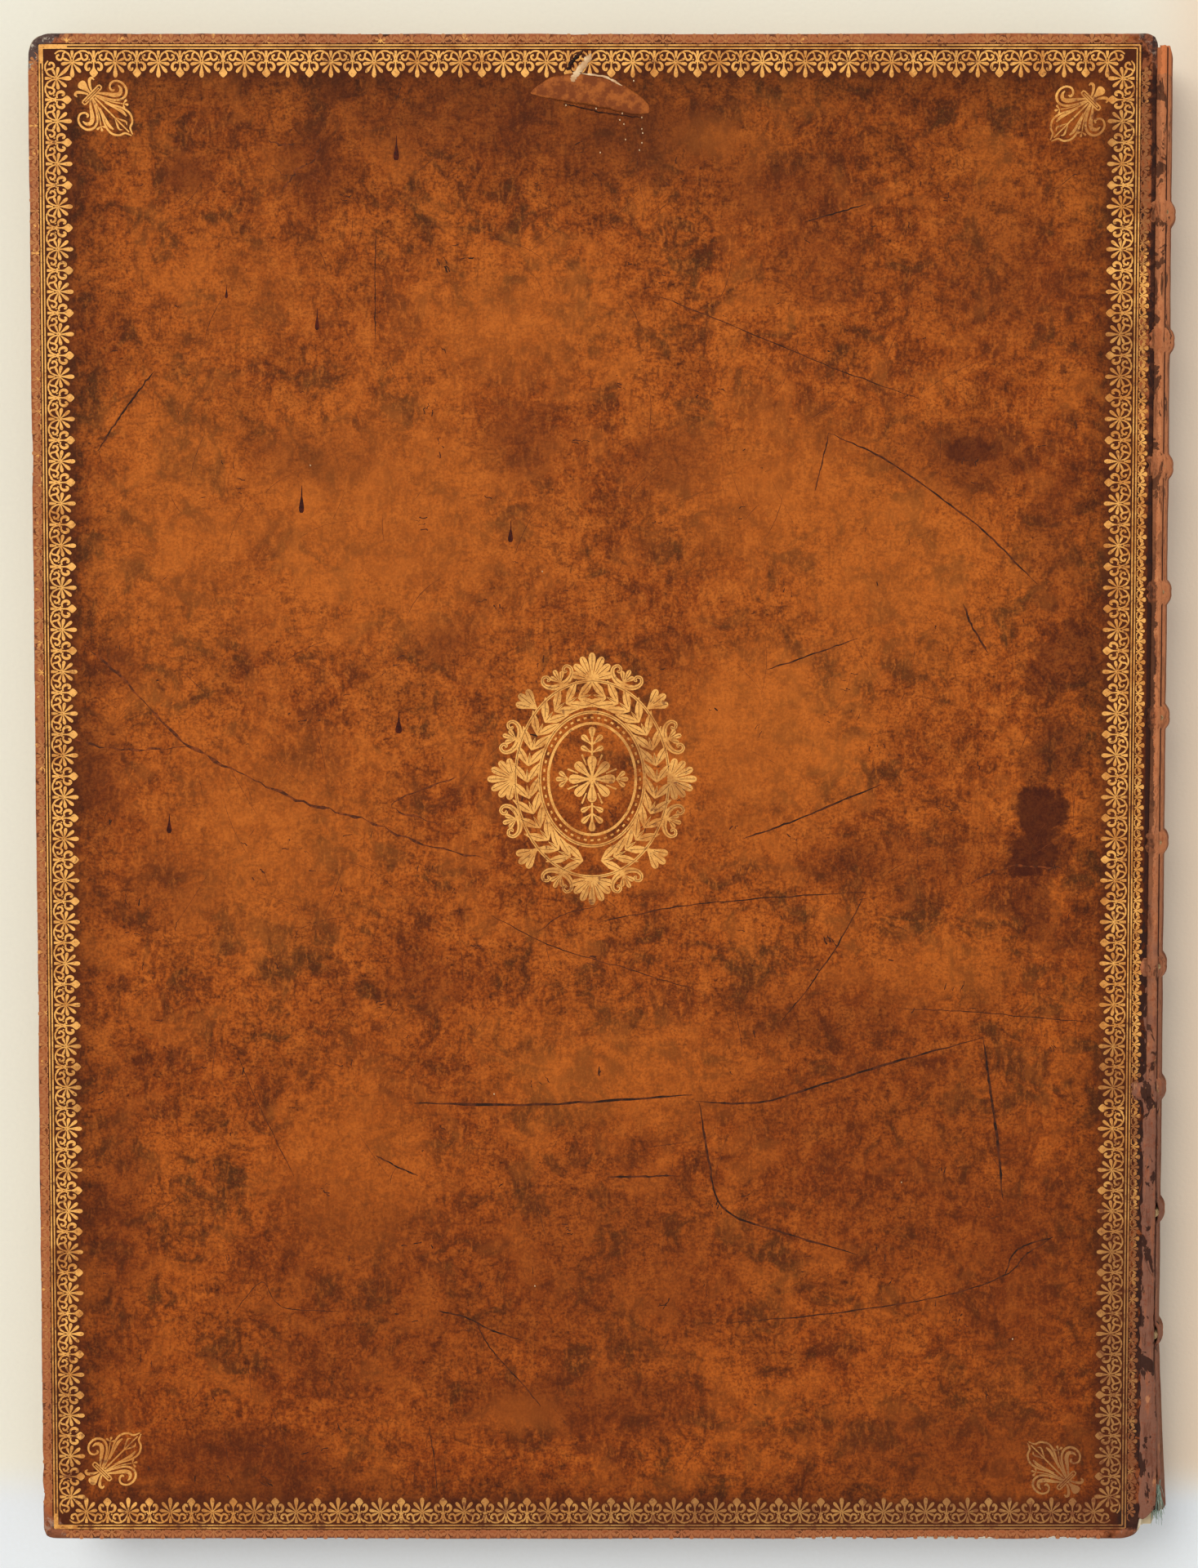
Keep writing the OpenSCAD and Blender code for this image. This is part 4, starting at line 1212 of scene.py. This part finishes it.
# %% The sheet bent round the spine
def spine_sheet(low_y, high_y, seed):
    """The leather of the spine, torn at both ends, cracked and swung out towards the tail."""
    bm = bmesh.new()
    columns = SPINE_COLUMNS
    bmesh.ops.create_grid(bm, x_segments=columns, y_segments=SPINE_ROWS, size=1)
    for vert in bm.verts:
        column, t = round((vert.co.x + 1) / 2 * columns), (vert.co.y + 1) / 2
        torn = 1.4 * wave(column * 0.6, 0, 1.7, seed) + 0.7 * wave(column * 1.7, 0, 1.7, seed)
        worn_cap = 5.5 * max(0.0, 1 - abs(column / columns - 0.5) / 0.3) ** 0.8
        y = low_y + (high_y - low_y) * t + torn * (2 * t - 1) - worn_cap * t ** 12
        slack = 0.12 * wave(column, y, 9, seed + 2) + 0.25 * wave(column * 0.4, y, 40, seed + 4)
        lip = min(column, columns - column) < len(LIP)
        away = SPINE_R + (0 if lip else slack)
        cracked = crack_open(y) * (1 + 0.25 * wave(0, y, 7, seed + 8) + 0.12 * wave(0, y, 2, seed + 9))
        x, z, turn = across_spine(column, columns, away, band_height(y), cracked)
        loose = flap_shift(y)
        ragged = 0.3 * wave(0, y, 5, seed + 6) if lip else 0
        vert.co = (x + loose * (1 - 0.62 * max(0, turn) ** 2) + ragged, y, z)
    bmesh.ops.recalc_face_normals(bm, faces=bm.faces)
    outermost = max(bm.faces, key=lambda face: face.calc_center_median().x)
    if outermost.normal.x < 0:
        bmesh.ops.reverse_faces(bm, faces=bm.faces)
    return thickened(bm, SPINE_THICK)


spine_skin = spine_sheet(spine_low.y, spine_high.y, 5.0)
finished("spine_calf", spine_skin, "block", spine_calf, ["spine_leather"])

# %% [markdown]
# The joint is a strip of the same leather that bends when a cover opens. Towards the tail the back
# one has split from the spine: there the strip ends in a torn edge that stands out over the joint,
# and a dark crack shows beside it. The model has no solid there, because a solid strip would lock
# the cover, so it is made here.

# %% The joint leather
JOINT_ROWS = 360
JOINT_THICK = 0.5
# Each profile, from the board outwards: past the edge of the board's leather, and up from its face
WHOLE = [(-1.1, -0.9), (-0.3, -0.5), (0.4, -0.42), (1.2, -0.5), (1.9, -0.62), (2.5, -0.95), (3.0, -1.7)]
TORN = [(-2.6, -0.8), (-1.7, -0.26), (-0.6, -0.14), (0.6, -0.16), (1.6, -0.24), (2.4, -0.42), (2.8, -0.75),
        (3.0, -1.4)]


def joint_strip(low_y, high_y, seed, path, ridge=1.1):
    """A strip from the board's leather to the spine, which rises by a ridge over each cord."""
    torn_free = path is TORN
    bm = bmesh.new()
    bmesh.ops.create_grid(bm, x_segments=len(path) - 1, y_segments=JOINT_ROWS, size=1)
    for vert in bm.verts:
        step = round((vert.co.x + 1) / 2 * (len(path) - 1))
        t = (vert.co.y + 1) / 2
        torn = 1.5 * wave(step * 3, 0, 1.7, seed)
        across, down = path[step]
        y = low_y + (high_y - low_y) * t + (torn + (max(0, across) if torn_free else 0)) * (1 - t)
        if torn_free:
            reach = 1 + 0.5 * max(0, min(1, (BANDS[-1] - 8 - y) / 26)) + 0.12 * wave(0, y, 8, seed)
            across *= (reach + 0.07 * wave(0, y, 1.8, seed + 1)) if across > 0 else 1
            across += 0.9 * wave(0, y, 5, seed + 2) * max(0, -across / 2.6) ** 2
        over_cord = band_height(y) / BAND_RISE * (0.45 if torn_free else 1)
        fall = 0.045 if torn_free else 0.2
        height = down * (1 - over_cord) + (ridge - fall * max(0, across) ** 2) * over_cord
        vert.co = (JOINT_X + across, y, TOP_Z + height + 0.15 * wave(across, y, 3, seed))
    bmesh.ops.recalc_face_normals(bm, faces=bm.faces)
    if bm.faces[:][0].normal.z < 0:
        bmesh.ops.reverse_faces(bm, faces=bm.faces)
    return thickened(bm, JOINT_THICK)


def joint_leather(name, bm):
    """Makes a strip into a piece on no body, with its place baked into its mesh."""
    piece = finished(name, bm, None, joint_calf)
    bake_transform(piece)


whole_strip = joint_strip(CRACK_TOP - 2, spine_high.y - 1, 8.0, WHOLE)
joint_leather("back_joint_calf", whole_strip)
torn_strip = joint_strip(9 - HEAD_Y, CRACK_TOP, 6.0, TORN)
joint_leather("back_joint_torn_calf", torn_strip)
front_strip = joint_strip(spine_low.y + 2, spine_high.y - 1, 9.0, WHOLE, -0.2)
turn_over(front_strip)
joint_leather("front_joint_calf", front_strip)

# %% [markdown]
# The cords run on over the joint and into the board, so each band ends in a low ridge on the
# cover, rubbed pale. The cover's own cells are too large for such rough little ridges, so each
# is a small sheet of its own, sunk a little into the face.

# %% The ends of the bands on the back cover
# How far each one reaches onto the cover, from the head down
BAND_ENDS = [2.6, 2.4, 2.6, 2.4, 2.0, 2.0, 3.2, 6.4, 1.6, 1.4]


def band_ends():
    """The ridges where the cords enter the board."""
    bm = bmesh.new()
    for band, reach in zip(BANDS, BAND_ENDS):
        made = bmesh.ops.create_grid(bm, x_segments=20, y_segments=22, size=1)["verts"]
        for vert in made:
            across, along = vert.co.x, vert.co.y
            long = reach - 0.7 + 1.1 * wave(along * 2.2, band, 1, 7.5)
            x = JOINT_X - 0.7 - long * (1 - across) / 2
            ramp = min(1.0, (1 + across) * 1.6) ** 0.5
            ridge = max(0.0, 1 - abs(along) ** 3)
            y = band + along * BAND_HALF * (0.84 + 0.16 * ramp) + 0.7 * wave(x, band, 2, 3.5) * along
            rough = 0.45 * wave(x, y, 2.4, band) + 0.25 * wave(x, y, 1.0, band)
            vert.co = (x, y, TOP_Z + swell(x, y) - 0.35 + (1.55 + rough) * ramp * ridge + 0.1 * rough)
    bmesh.ops.recalc_face_normals(bm, faces=bm.faces)
    return thickened(bm, JOINT_THICK)


finished("back_band_ends", band_ends(), "back_cover", joint_calf)

# %% [markdown]
# ## The leaves
# The leaves are sewn in gatherings, which show as fine steps along all three edges. So the text
# block is a pile of slabs, each a little out of line with the next, whose fore-edge follows the
# hollow and whose back follows the rounded spine.

# %% The text block
leaf_low, leaf_high = [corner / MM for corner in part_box("text_block")]
endleaf_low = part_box("back_endleaf")[0] / MM
GATHERINGS = 44
FORE_HOLLOW = 3.2
UNDER_SPINE = 1.5


def leaves():
    """The pile of gatherings, each a slab of its own thickness."""
    dice = random.Random(12)
    bm = bmesh.new()
    top = endleaf_low.z
    low = TOP_Z - top
    thick = (top - low) / GATHERINGS
    back_r = SPINE_R - UNDER_SPINE
    for i in range(GATHERINGS):
        z = low + (i + 0.5) * thick
        t = (z - MIDDLE_Z) / (top - MIDDLE_Z)
        fore = leaf_low.x + FORE_HOLLOW * (1 - t * t) + dice.uniform(0, 0.35)
        back = ARC_X + math.sqrt(back_r ** 2 - (z - MIDDLE_Z) ** 2) - dice.uniform(0.05, 0.3)
        head = leaf_high.y - dice.uniform(0.05, 0.4)
        tail = leaf_low.y + dice.uniform(0.05, 0.4)
        made = bmesh.ops.create_cube(bm, size=1)["verts"]
        bmesh.ops.scale(bm, vec=(back - fore, head - tail, thick * 0.985), verts=made)
        bmesh.ops.translate(bm, vec=((fore + back) / 2, (head + tail) / 2, z), verts=made)
    rims = [edge for edge in bm.edges if abs(edge.verts[0].co.z - edge.verts[1].co.z) < 0.01]
    bmesh.ops.bevel(bm, geom=rims, offset=0.09, segments=1, profile=0.5, affect="EDGES", material=-1)
    return bm


def shoulders():
    """The folds of the outer gatherings beside the boards, browned by glue and painted dark as shade."""
    bm = bmesh.new()
    top, width = endleaf_low.z, 3.0
    tall = leaf_high.z - top - 0.3
    middle_y = (leaf_high.y + spine_low.y) / 2 + 1.5
    for z in (top + tall / 2, TOP_Z - top - tall / 2):
        made = bmesh.ops.create_cube(bm, size=1)["verts"]
        bmesh.ops.scale(bm, vec=(width, leaf_high.y - spine_low.y - 4, tall), verts=made)
        bmesh.ops.translate(bm, vec=(JOINT_X + 0.6 + width / 2, middle_y, z), verts=made)
    bmesh.ops.bevel(bm, geom=bm.edges[:], offset=0.4, segments=2, profile=0.5, affect="EDGES", material=-1)
    return bm


# Painted shade: the folds are near black so that the crack beside the joint reads dark.
shaded_glued_folds = aged_paper("paper_glued_folds", srgb(70, 36, 24), srgb(38, 20, 16), 35.0)
finished("leaves", leaves(), "block", edge_paper, ["text_block"], smooth=False)
finished("shaded_leaf_folds", shoulders(), "block", shaded_glued_folds, smooth=False)

# %% [markdown]
# Of the headband at the tail only green silk is left: a stub and its frayed threads. Hair
# particles are no mesh and would be lost in an export, so each thread is a stroke of the pen,
# as thick as it is wide.

# %% The frayed silk
SILK_THREADS = 150
silk_low, silk_high = [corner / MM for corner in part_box("tail_silk")]


def frayed_silk():
    """Threads that hang out towards the tail and bend a little on their way."""
    dice = random.Random(31)
    strokes = []
    root = Vector(((silk_low.x + silk_high.x) / 2, silk_high.y, (silk_low.z + silk_high.z) / 2))
    for _ in range(SILK_THREADS):
        start = root + Vector((dice.uniform(-1.4, 1.8), dice.uniform(-2, 6), dice.uniform(-3.2, 4.2)))
        drift = Vector((dice.gauss(0.02, 0.1), -1, dice.gauss(0, 0.12))) * dice.uniform(5, 11)
        bend = Vector((dice.uniform(-0.6, 0.6), 0, dice.uniform(-0.6, 0.6)))
        stroke = []
        for k in range(7):
            t = k / 6
            stroke.append((*(start + drift * t + bend * (math.sin(t * 3.1) + t * t)), 0.12 * (1 - 0.5 * t)))
        strokes.append(stroke)
    return pen(strokes, 1.0)


finished("tail_silk_threads", frayed_silk(), "block", green_silk, ["tail_silk"])

# %% [markdown]
# ## Scratches and drips
# The cover has been cut, dragged and dripped on. A scratch is one more stroke of the pen, thin,
# dark and tapering, and a drip is a drop-shaped one. Both lie almost in the leather's face.

# %% Where the back cover was scratched, creased and dripped on
# Each scratch: half thickness in millimetres, and the pixels of the photograph it runs through
SCRATCHES = [
    (0.5, [(508, 1351), (640, 1353), (760, 1347), (848, 1340)]),
    (0.42, [(852, 1349), (930, 1350), (1000, 1330), (1080, 1305), (1204, 1270)]),
    (0.5, [(1204, 1270), (1212, 1330), (1222, 1400), (1228, 1470)]),
    (0.42, [(856, 1350), (868, 1420), (886, 1480), (960, 1510), (1050, 1536)]),
    (0.42, [(744, 1441), (790, 1441), (828, 1439)]),
    (0.34, [(1015, 530), (1080, 560), (1150, 608), (1210, 655), (1270, 716)]),
    (0.25, [(1015, 530), (1006, 570), (998, 600)]),
    (0.36, [(910, 1027), (960, 1010), (1020, 985), (1078, 961)]),
    (0.3, [(985, 272), (1020, 262), (1060, 250)]),
    (0.36, [(120, 552), (140, 520), (165, 485), (190, 453)]),
    (0.4, [(1180, 740), (1192, 770), (1210, 800)]),
    (0.26, [(940, 820), (990, 803), (1050, 782)]),
    (0.24, [(730, 1130), (820, 1112), (900, 1103), (1060, 1092)]),
    (0.24, [(1060, 1092), (1030, 1150), (990, 1210), (955, 1252)]),
    (0.26, [(890, 1620), (1020, 1608), (1150, 1588), (1230, 1562), (1258, 1535), (1290, 1515)]),
    (0.3, [(1230, 1562), (1246, 1530), (1290, 1514)]),
    (0.3, [(460, 1415), (485, 1428), (512, 1440)]),
    (0.34, [(535, 1605), (570, 1613), (600, 1628), (640, 1642)]),
    (0.22, [(580, 1612), (600, 1650), (640, 1695), (662, 1722)]),
    (0.18, [(460, 280), (459, 350), (460, 420)]),
    (0.16, [(290, 1290), (320, 1360), (360, 1440)]),
    (0.16, [(285, 1610), (320, 1570), (345, 1600), (420, 1606)]),
    (0.16, [(1100, 1235), (1200, 1240), (1330, 1252)]),
    (0.2, [(800, 360), (900, 400), (1020, 450), (1130, 490)]),
    (0.2, [(525, 1745), (532, 1790), (536, 1830)]),
    (0.18, [(600, 1120), (680, 1160), (780, 1190), (860, 1215)]),
    (0.22, [(660, 1140), (690, 1120), (730, 1110)])]
# The long crease and the smears near it, wide and blurred
CREASES = [
   
    (0.7, [(100, 788), (150, 830), (215, 900), (300, 950), (380, 985), (450, 1005), (520, 1035),
           (640, 1062)]),
    (0.5, [(90, 905), (150, 918), (230, 915)]), (0.45, [(560, 950), (480, 985), (540, 1010)]),
    (0.6, [(1190, 1080), (1240, 1060), (1300, 1064)]),
    (0.4, [(396, 167), (372, 170), (350, 178), (330, 172)]),
    (0.45, [(392, 172), (386, 194), (362, 210), (345, 234)]),
    (0.35, [(330, 200), (350, 215), (375, 213), (395, 224)])]
# The lifted skin at the head: the pixels along its middle, and the half width at each; then the
# painted shadow under its edge and by the tear, and the bare skin beside it, as scratches are given
LIFTED_SKIN = [
    ((650, 114), 0.3), ((662, 111), 2.4), ((682, 108), 4.5), ((706, 108), 5.5), ((732, 112), 5.6),
    ((756, 119), 5.1), ((776, 127), 4.0), ((789, 133), 2.4), ((795, 137), 0.5)]
TEAR_SHADOWS = [
    (0.28, [(690, 127), (712, 132), (735, 137), (762, 141), (786, 144)]),
    (0.8, [(714, 62), (702, 74), (694, 88)])]
BARE_SKIN = [
    (1.3, [(724, 66), (716, 78), (706, 90), (699, 101)]), (0.4, [(712, 90), (740, 94), (762, 105)])]
# Specks where the pale inside of the skin shows
PALE_SPECKS = [
    (698, 106), (763, 106), (693, 129), (730, 133), (762, 139), (766, 130), (779, 132), (787, 134),
    (786, 144), (759, 147), (764, 152), (786, 158), (787, 163), (766, 171), (786, 175), (783, 184),
    (735, 187), (776, 99), (1104, 1448), (664, 700), (845, 962), (605, 1340), (380, 570), (655, 1575),
    (1240, 1640)]
# Drips: pixel of the lower, round end, length in millimetres, and how wide next to the others
DRIPS = [
    ((485, 196), 9, 1.3), ((388, 404), 8, 1.0), ((369, 628), 10, 1.2), ((625, 664), 8, 1.2),
    ((488, 898), 8, 1.5), ((207, 1020), 7, 1.2), ((277, 365), 5, 0.7)]

# How wide a drip is at each share of its length, from its round end up
DRIP_SHAPE = ((0.0, 0.5), (0.08, 0.95), (0.2, 1.0), (0.38, 0.7), (0.6, 0.3), (1.0, 0.1))
print(len(SCRATCHES), "scratches,", len(CREASES), "creases,", len(DRIPS), "drips and",
      len(PALE_SPECKS), "specks")


# %% Strokes for the marks
def marks(lines, wander, seed, evenness=0.65):
    """Shaky, tapering strokes through the pixels of each line."""
    dice = random.Random(seed)
    strokes = []
    for thick, pixels in lines:
        path = flow([seen_at(*pixel) for pixel in pixels], 9)
        last = len(path) - 1
        stroke = []
        for k, point in enumerate(path):
            taper = min(1.0, 0.25 + 6 * min(k, last - k) / last)
            stroke.append((point.x + dice.gauss(0, wander), point.y + dice.gauss(0, wander),
                           thick * taper * dice.uniform(1.2 - evenness, 1.15)))
        strokes.append(stroke)
    return strokes


def laid_on(strokes, lift, flat=RELIEF, roundness=0):
    """A relief drawn on the swelling face of the back cover."""
    bm = bmesh.new()
    bm.from_mesh(pen(strokes, flat, roundness))
    return laid_in_leather(bm, lift)


print("strokes for marks ready")

# %% Hair scratches and nicks
HAIR_SCRATCHES, NICKS = 260, 260


def fine_scratches(count, seed):
    """Hair scratches of everyday handling, mostly lengthways and slightly curved."""
    dice = random.Random(seed)
    strokes = []
    for _ in range(count):
        x = dice.uniform(FORE_X + 22, JOINT_X - 24)
        y = dice.uniform(-HEAD_Y + 24, HEAD_Y - 24)
        angle = dice.gauss(math.radians(80), 0.7)
        length, bend = dice.uniform(3, 26), dice.uniform(-0.4, 0.4)
        thick = dice.uniform(0.05, 0.13)
        stroke = []
        for k in range(5):
            t = k / 4
            way = angle + bend * t
            stroke.append((x + math.cos(way) * length * t, y + math.sin(way) * length * t,
                           thick * math.sin(math.pi * (0.12 + 0.76 * t))))
        strokes.append(stroke)
    return strokes


def nicks(count, seed):
    """Small ragged bites and smears, mostly along or across the cover."""
    dice = random.Random(seed)
    strokes = []
    for _ in range(count):
        x, y = dice.uniform(FORE_X + 20, JOINT_X - 24), dice.uniform(-HEAD_Y + 22, HEAD_Y - 22)
        angle = dice.choice((0, math.pi / 2, dice.uniform(0, math.tau))) + dice.gauss(0, 0.25)
        for _ in range(dice.choice((1, 1, 2, 4))):
            length, thick = dice.uniform(0.5, 3.2), dice.uniform(0.1, 0.32)
            start = Vector((x + dice.gauss(0, 1.8), y + dice.gauss(0, 1.8)))
            stroke = []
            for k in range(4):
                point = start + Vector((math.cos(angle), math.sin(angle))) * length * k / 3
                stroke.append((point.x + dice.gauss(0, 0.2), point.y + dice.gauss(0, 0.2),
                               thick * dice.uniform(0.3, 1.1)))
            strokes.append(stroke)
    return strokes


print("hair scratches and nicks ready")

# %% The marks laid on the back cover
scratched = mark_finish("scratched_calf", srgb(96, 44, 18), srgb(40, 20, 12), 61.0)
creased = mark_finish("creased_calf", srgb(132, 62, 22), srgb(74, 34, 14), 64.0, 3.0)
MARKS = {
    "back_cover_scratches": (laid_on(marks(SCRATCHES, 0.12, 17), 0.02), scratched),
    "back_cover_creases": (laid_on(marks(CREASES, 0.35, 23, 1.1), 0.0), creased),
    "back_cover_hair_scratches": (laid_on(fine_scratches(HAIR_SCRATCHES, 19), 0.0), creased),
    "back_cover_nicks": (laid_on(nicks(NICKS, 27), 0.0), scratched)}
for name, (bm, material) in MARKS.items():
    finished(name, bm, "back_cover", material, smooth=False)
drip_strokes = []
for pixel, length, wide in DRIPS:
    foot = seen_at(*pixel)
    drip_strokes.append([(foot.x + 0.2 * t, foot.y + t * length, 0.8 * wide * w) for t, w in DRIP_SHAPE])
dried = mark_finish("dried_drips", srgb(84, 26, 8), srgb(50, 14, 6), 67.0, 2.0, 0.3)
finished("back_cover_drips", laid_on(drip_strokes, 0.0), "back_cover", dried, smooth=False)

# %% [markdown]
# At the head a flap of skin was lifted and dried flat again. It is one broad, rounded stroke with
# a thin line of painted shadow under its edge. Where skin is gone, the pale inside shows, in a tear
# that stands up at the edge, with painted shadow beside it, and in small specks.

# %% Torn skin and specks of bare flesh
lifted = mark_finish("calf_lifted", srgb(170, 92, 36), srgb(124, 60, 22), 83.0, 4.0)
flesh = mark_finish("bare_flesh", srgb(238, 206, 164), srgb(204, 160, 116), 86.0)
# Dark tones for the painted shadow under the torn skin.
painted_tear_shadow = mark_finish("painted_shadow_under_the_tear", srgb(70, 30, 14), srgb(34, 16, 10), 88.0)
skin = flow([(*seen_at(*pixel).xy, half) for pixel, half in LIFTED_SKIN], 4)
skin = [(x, y + 0.25 * wave(x, half, 2.4, 7.0), half * (1 + 0.06 * wave(x, 0, 3, 9.0)))
        for x, y, half in skin]
finished("back_cover_lifted_skin", laid_on([skin], 0.05, 0.04, 3), "back_cover", lifted)
# Painted shadow under the lifted skin's edge and beside the tear.
finished("back_cover_tear_shadows", laid_on(marks(TEAR_SHADOWS, 0.12, 38), 0.04), "back_cover", painted_tear_shadow)
bare_strokes = marks(BARE_SKIN, 0.1, 39)
finished("back_cover_bare_skin", laid_on(bare_strokes, 0.12, 0.3, 2), "back_cover", flesh)
speck_strokes = []
for pixel in PALE_SPECKS:
    speck = seen_at(*pixel)
    speck_strokes.append([(speck.x - 0.2, speck.y, 0.3), (speck.x + 0.2, speck.y + 0.1, 0.34)])
finished("back_cover_specks", laid_on(speck_strokes, 0.05), "back_cover", flesh)

# %% [markdown]
# ## The room
# A pale floor and soft daylight from the upper left, as in the photograph. Close to the book the
# floor is tinted, with a painted warm shade beside the spine and a cooler tone below the tail, and
# further off it is plain. The sky gives about two thirds of the light and a broad sun the rest, so
# colours render about as they are written.

# %% The floor
FLOOR_HALF = 1500
FLOOR_DROP = 0.02
FLOOR_CREAM = srgb(244, 242, 228)
FLOOR_COOL = srgb(236, 242, 248)
FLOOR_WARM_SHADE = srgb(240, 214, 186)
FLOOR_PLAIN = srgb(240, 239, 234)
FLOOR_WEAVE = srgb(214, 210, 202)


def floor_finish():
    """Paper with a faint weave, tinted only near the book."""
    recipe = Recipe("paper_floor", 0.9, 0.1)
    weave = recipe.cloud(1.6, 91.0, 2)
    tone = recipe.rise(0 - recipe.y, 256, 278)
    colour = recipe.mix(tone, FLOOR_CREAM, FLOOR_COOL)
    # Painted warm shade on the floor beside the spine, where the book's shadow falls.
    colour = recipe.mix(recipe.rise(recipe.x, 190, 240) * (1 - tone), colour, FLOOR_WARM_SHADE)
    far = recipe.most(recipe.sum("ABSOLUTE", recipe.x) + 70, recipe.sum("ABSOLUTE", recipe.y))
    colour = recipe.mix(recipe.rise(far, 300, 420), colour, FLOOR_PLAIN)
    colour = recipe.mix(weave * 0.15, colour, FLOOR_WEAVE)
    recipe.set(Base_Color=colour)
    recipe.bump(weave, 0.1)
    return recipe.material


floor_bm = bmesh.new()
bmesh.ops.create_grid(floor_bm, x_segments=1, y_segments=1, size=FLOOR_HALF)
floor_mesh = bpy.data.meshes.new("floor")
floor_bm.to_mesh(floor_mesh)
floor_bm.free()
floor_mesh.transform(Matrix.Translation((0, 0, -FLOOR_DROP)))
floor_mesh.transform(Matrix.Scale(MM, 4))
floor_mesh.materials.append(floor_finish())
floor = bpy.data.objects.new("floor", floor_mesh)
bpy.context.scene.collection.objects.link(floor)
print("floor", 2 * FLOOR_HALF, "mm wide")

# %% Daylight
SKY_COLOUR, SKY_STRENGTH = (1.0, 0.985, 0.96, 1.0), 0.69
SUN_COLOUR, SUN_STRENGTH = (1.0, 0.965, 0.89), 1.35
SUN_SPREAD = math.radians(36)
TOWARDS_SUN = Vector((-0.55, 0.62, 1.0))

world = bpy.data.worlds.new("sky")
bpy.context.scene.world = world
world.use_nodes = True
sky = world.node_tree.nodes["Background"]
sky.inputs["Color"].default_value = SKY_COLOUR
sky.inputs["Strength"].default_value = SKY_STRENGTH

sun_data = bpy.data.lights.new("window", "SUN")
sun_data.energy = SUN_STRENGTH
sun_data.angle = SUN_SPREAD
sun_data.color = SUN_COLOUR
sun = bpy.data.objects.new("window", sun_data)
sun.rotation_euler = TOWARDS_SUN.to_track_quat("Z", "Y").to_euler()
bpy.context.scene.collection.objects.link(sun)
bpy.context.scene.view_settings.view_transform = "Standard"
print("sky", SKY_STRENGTH, "and sun", SUN_STRENGTH)
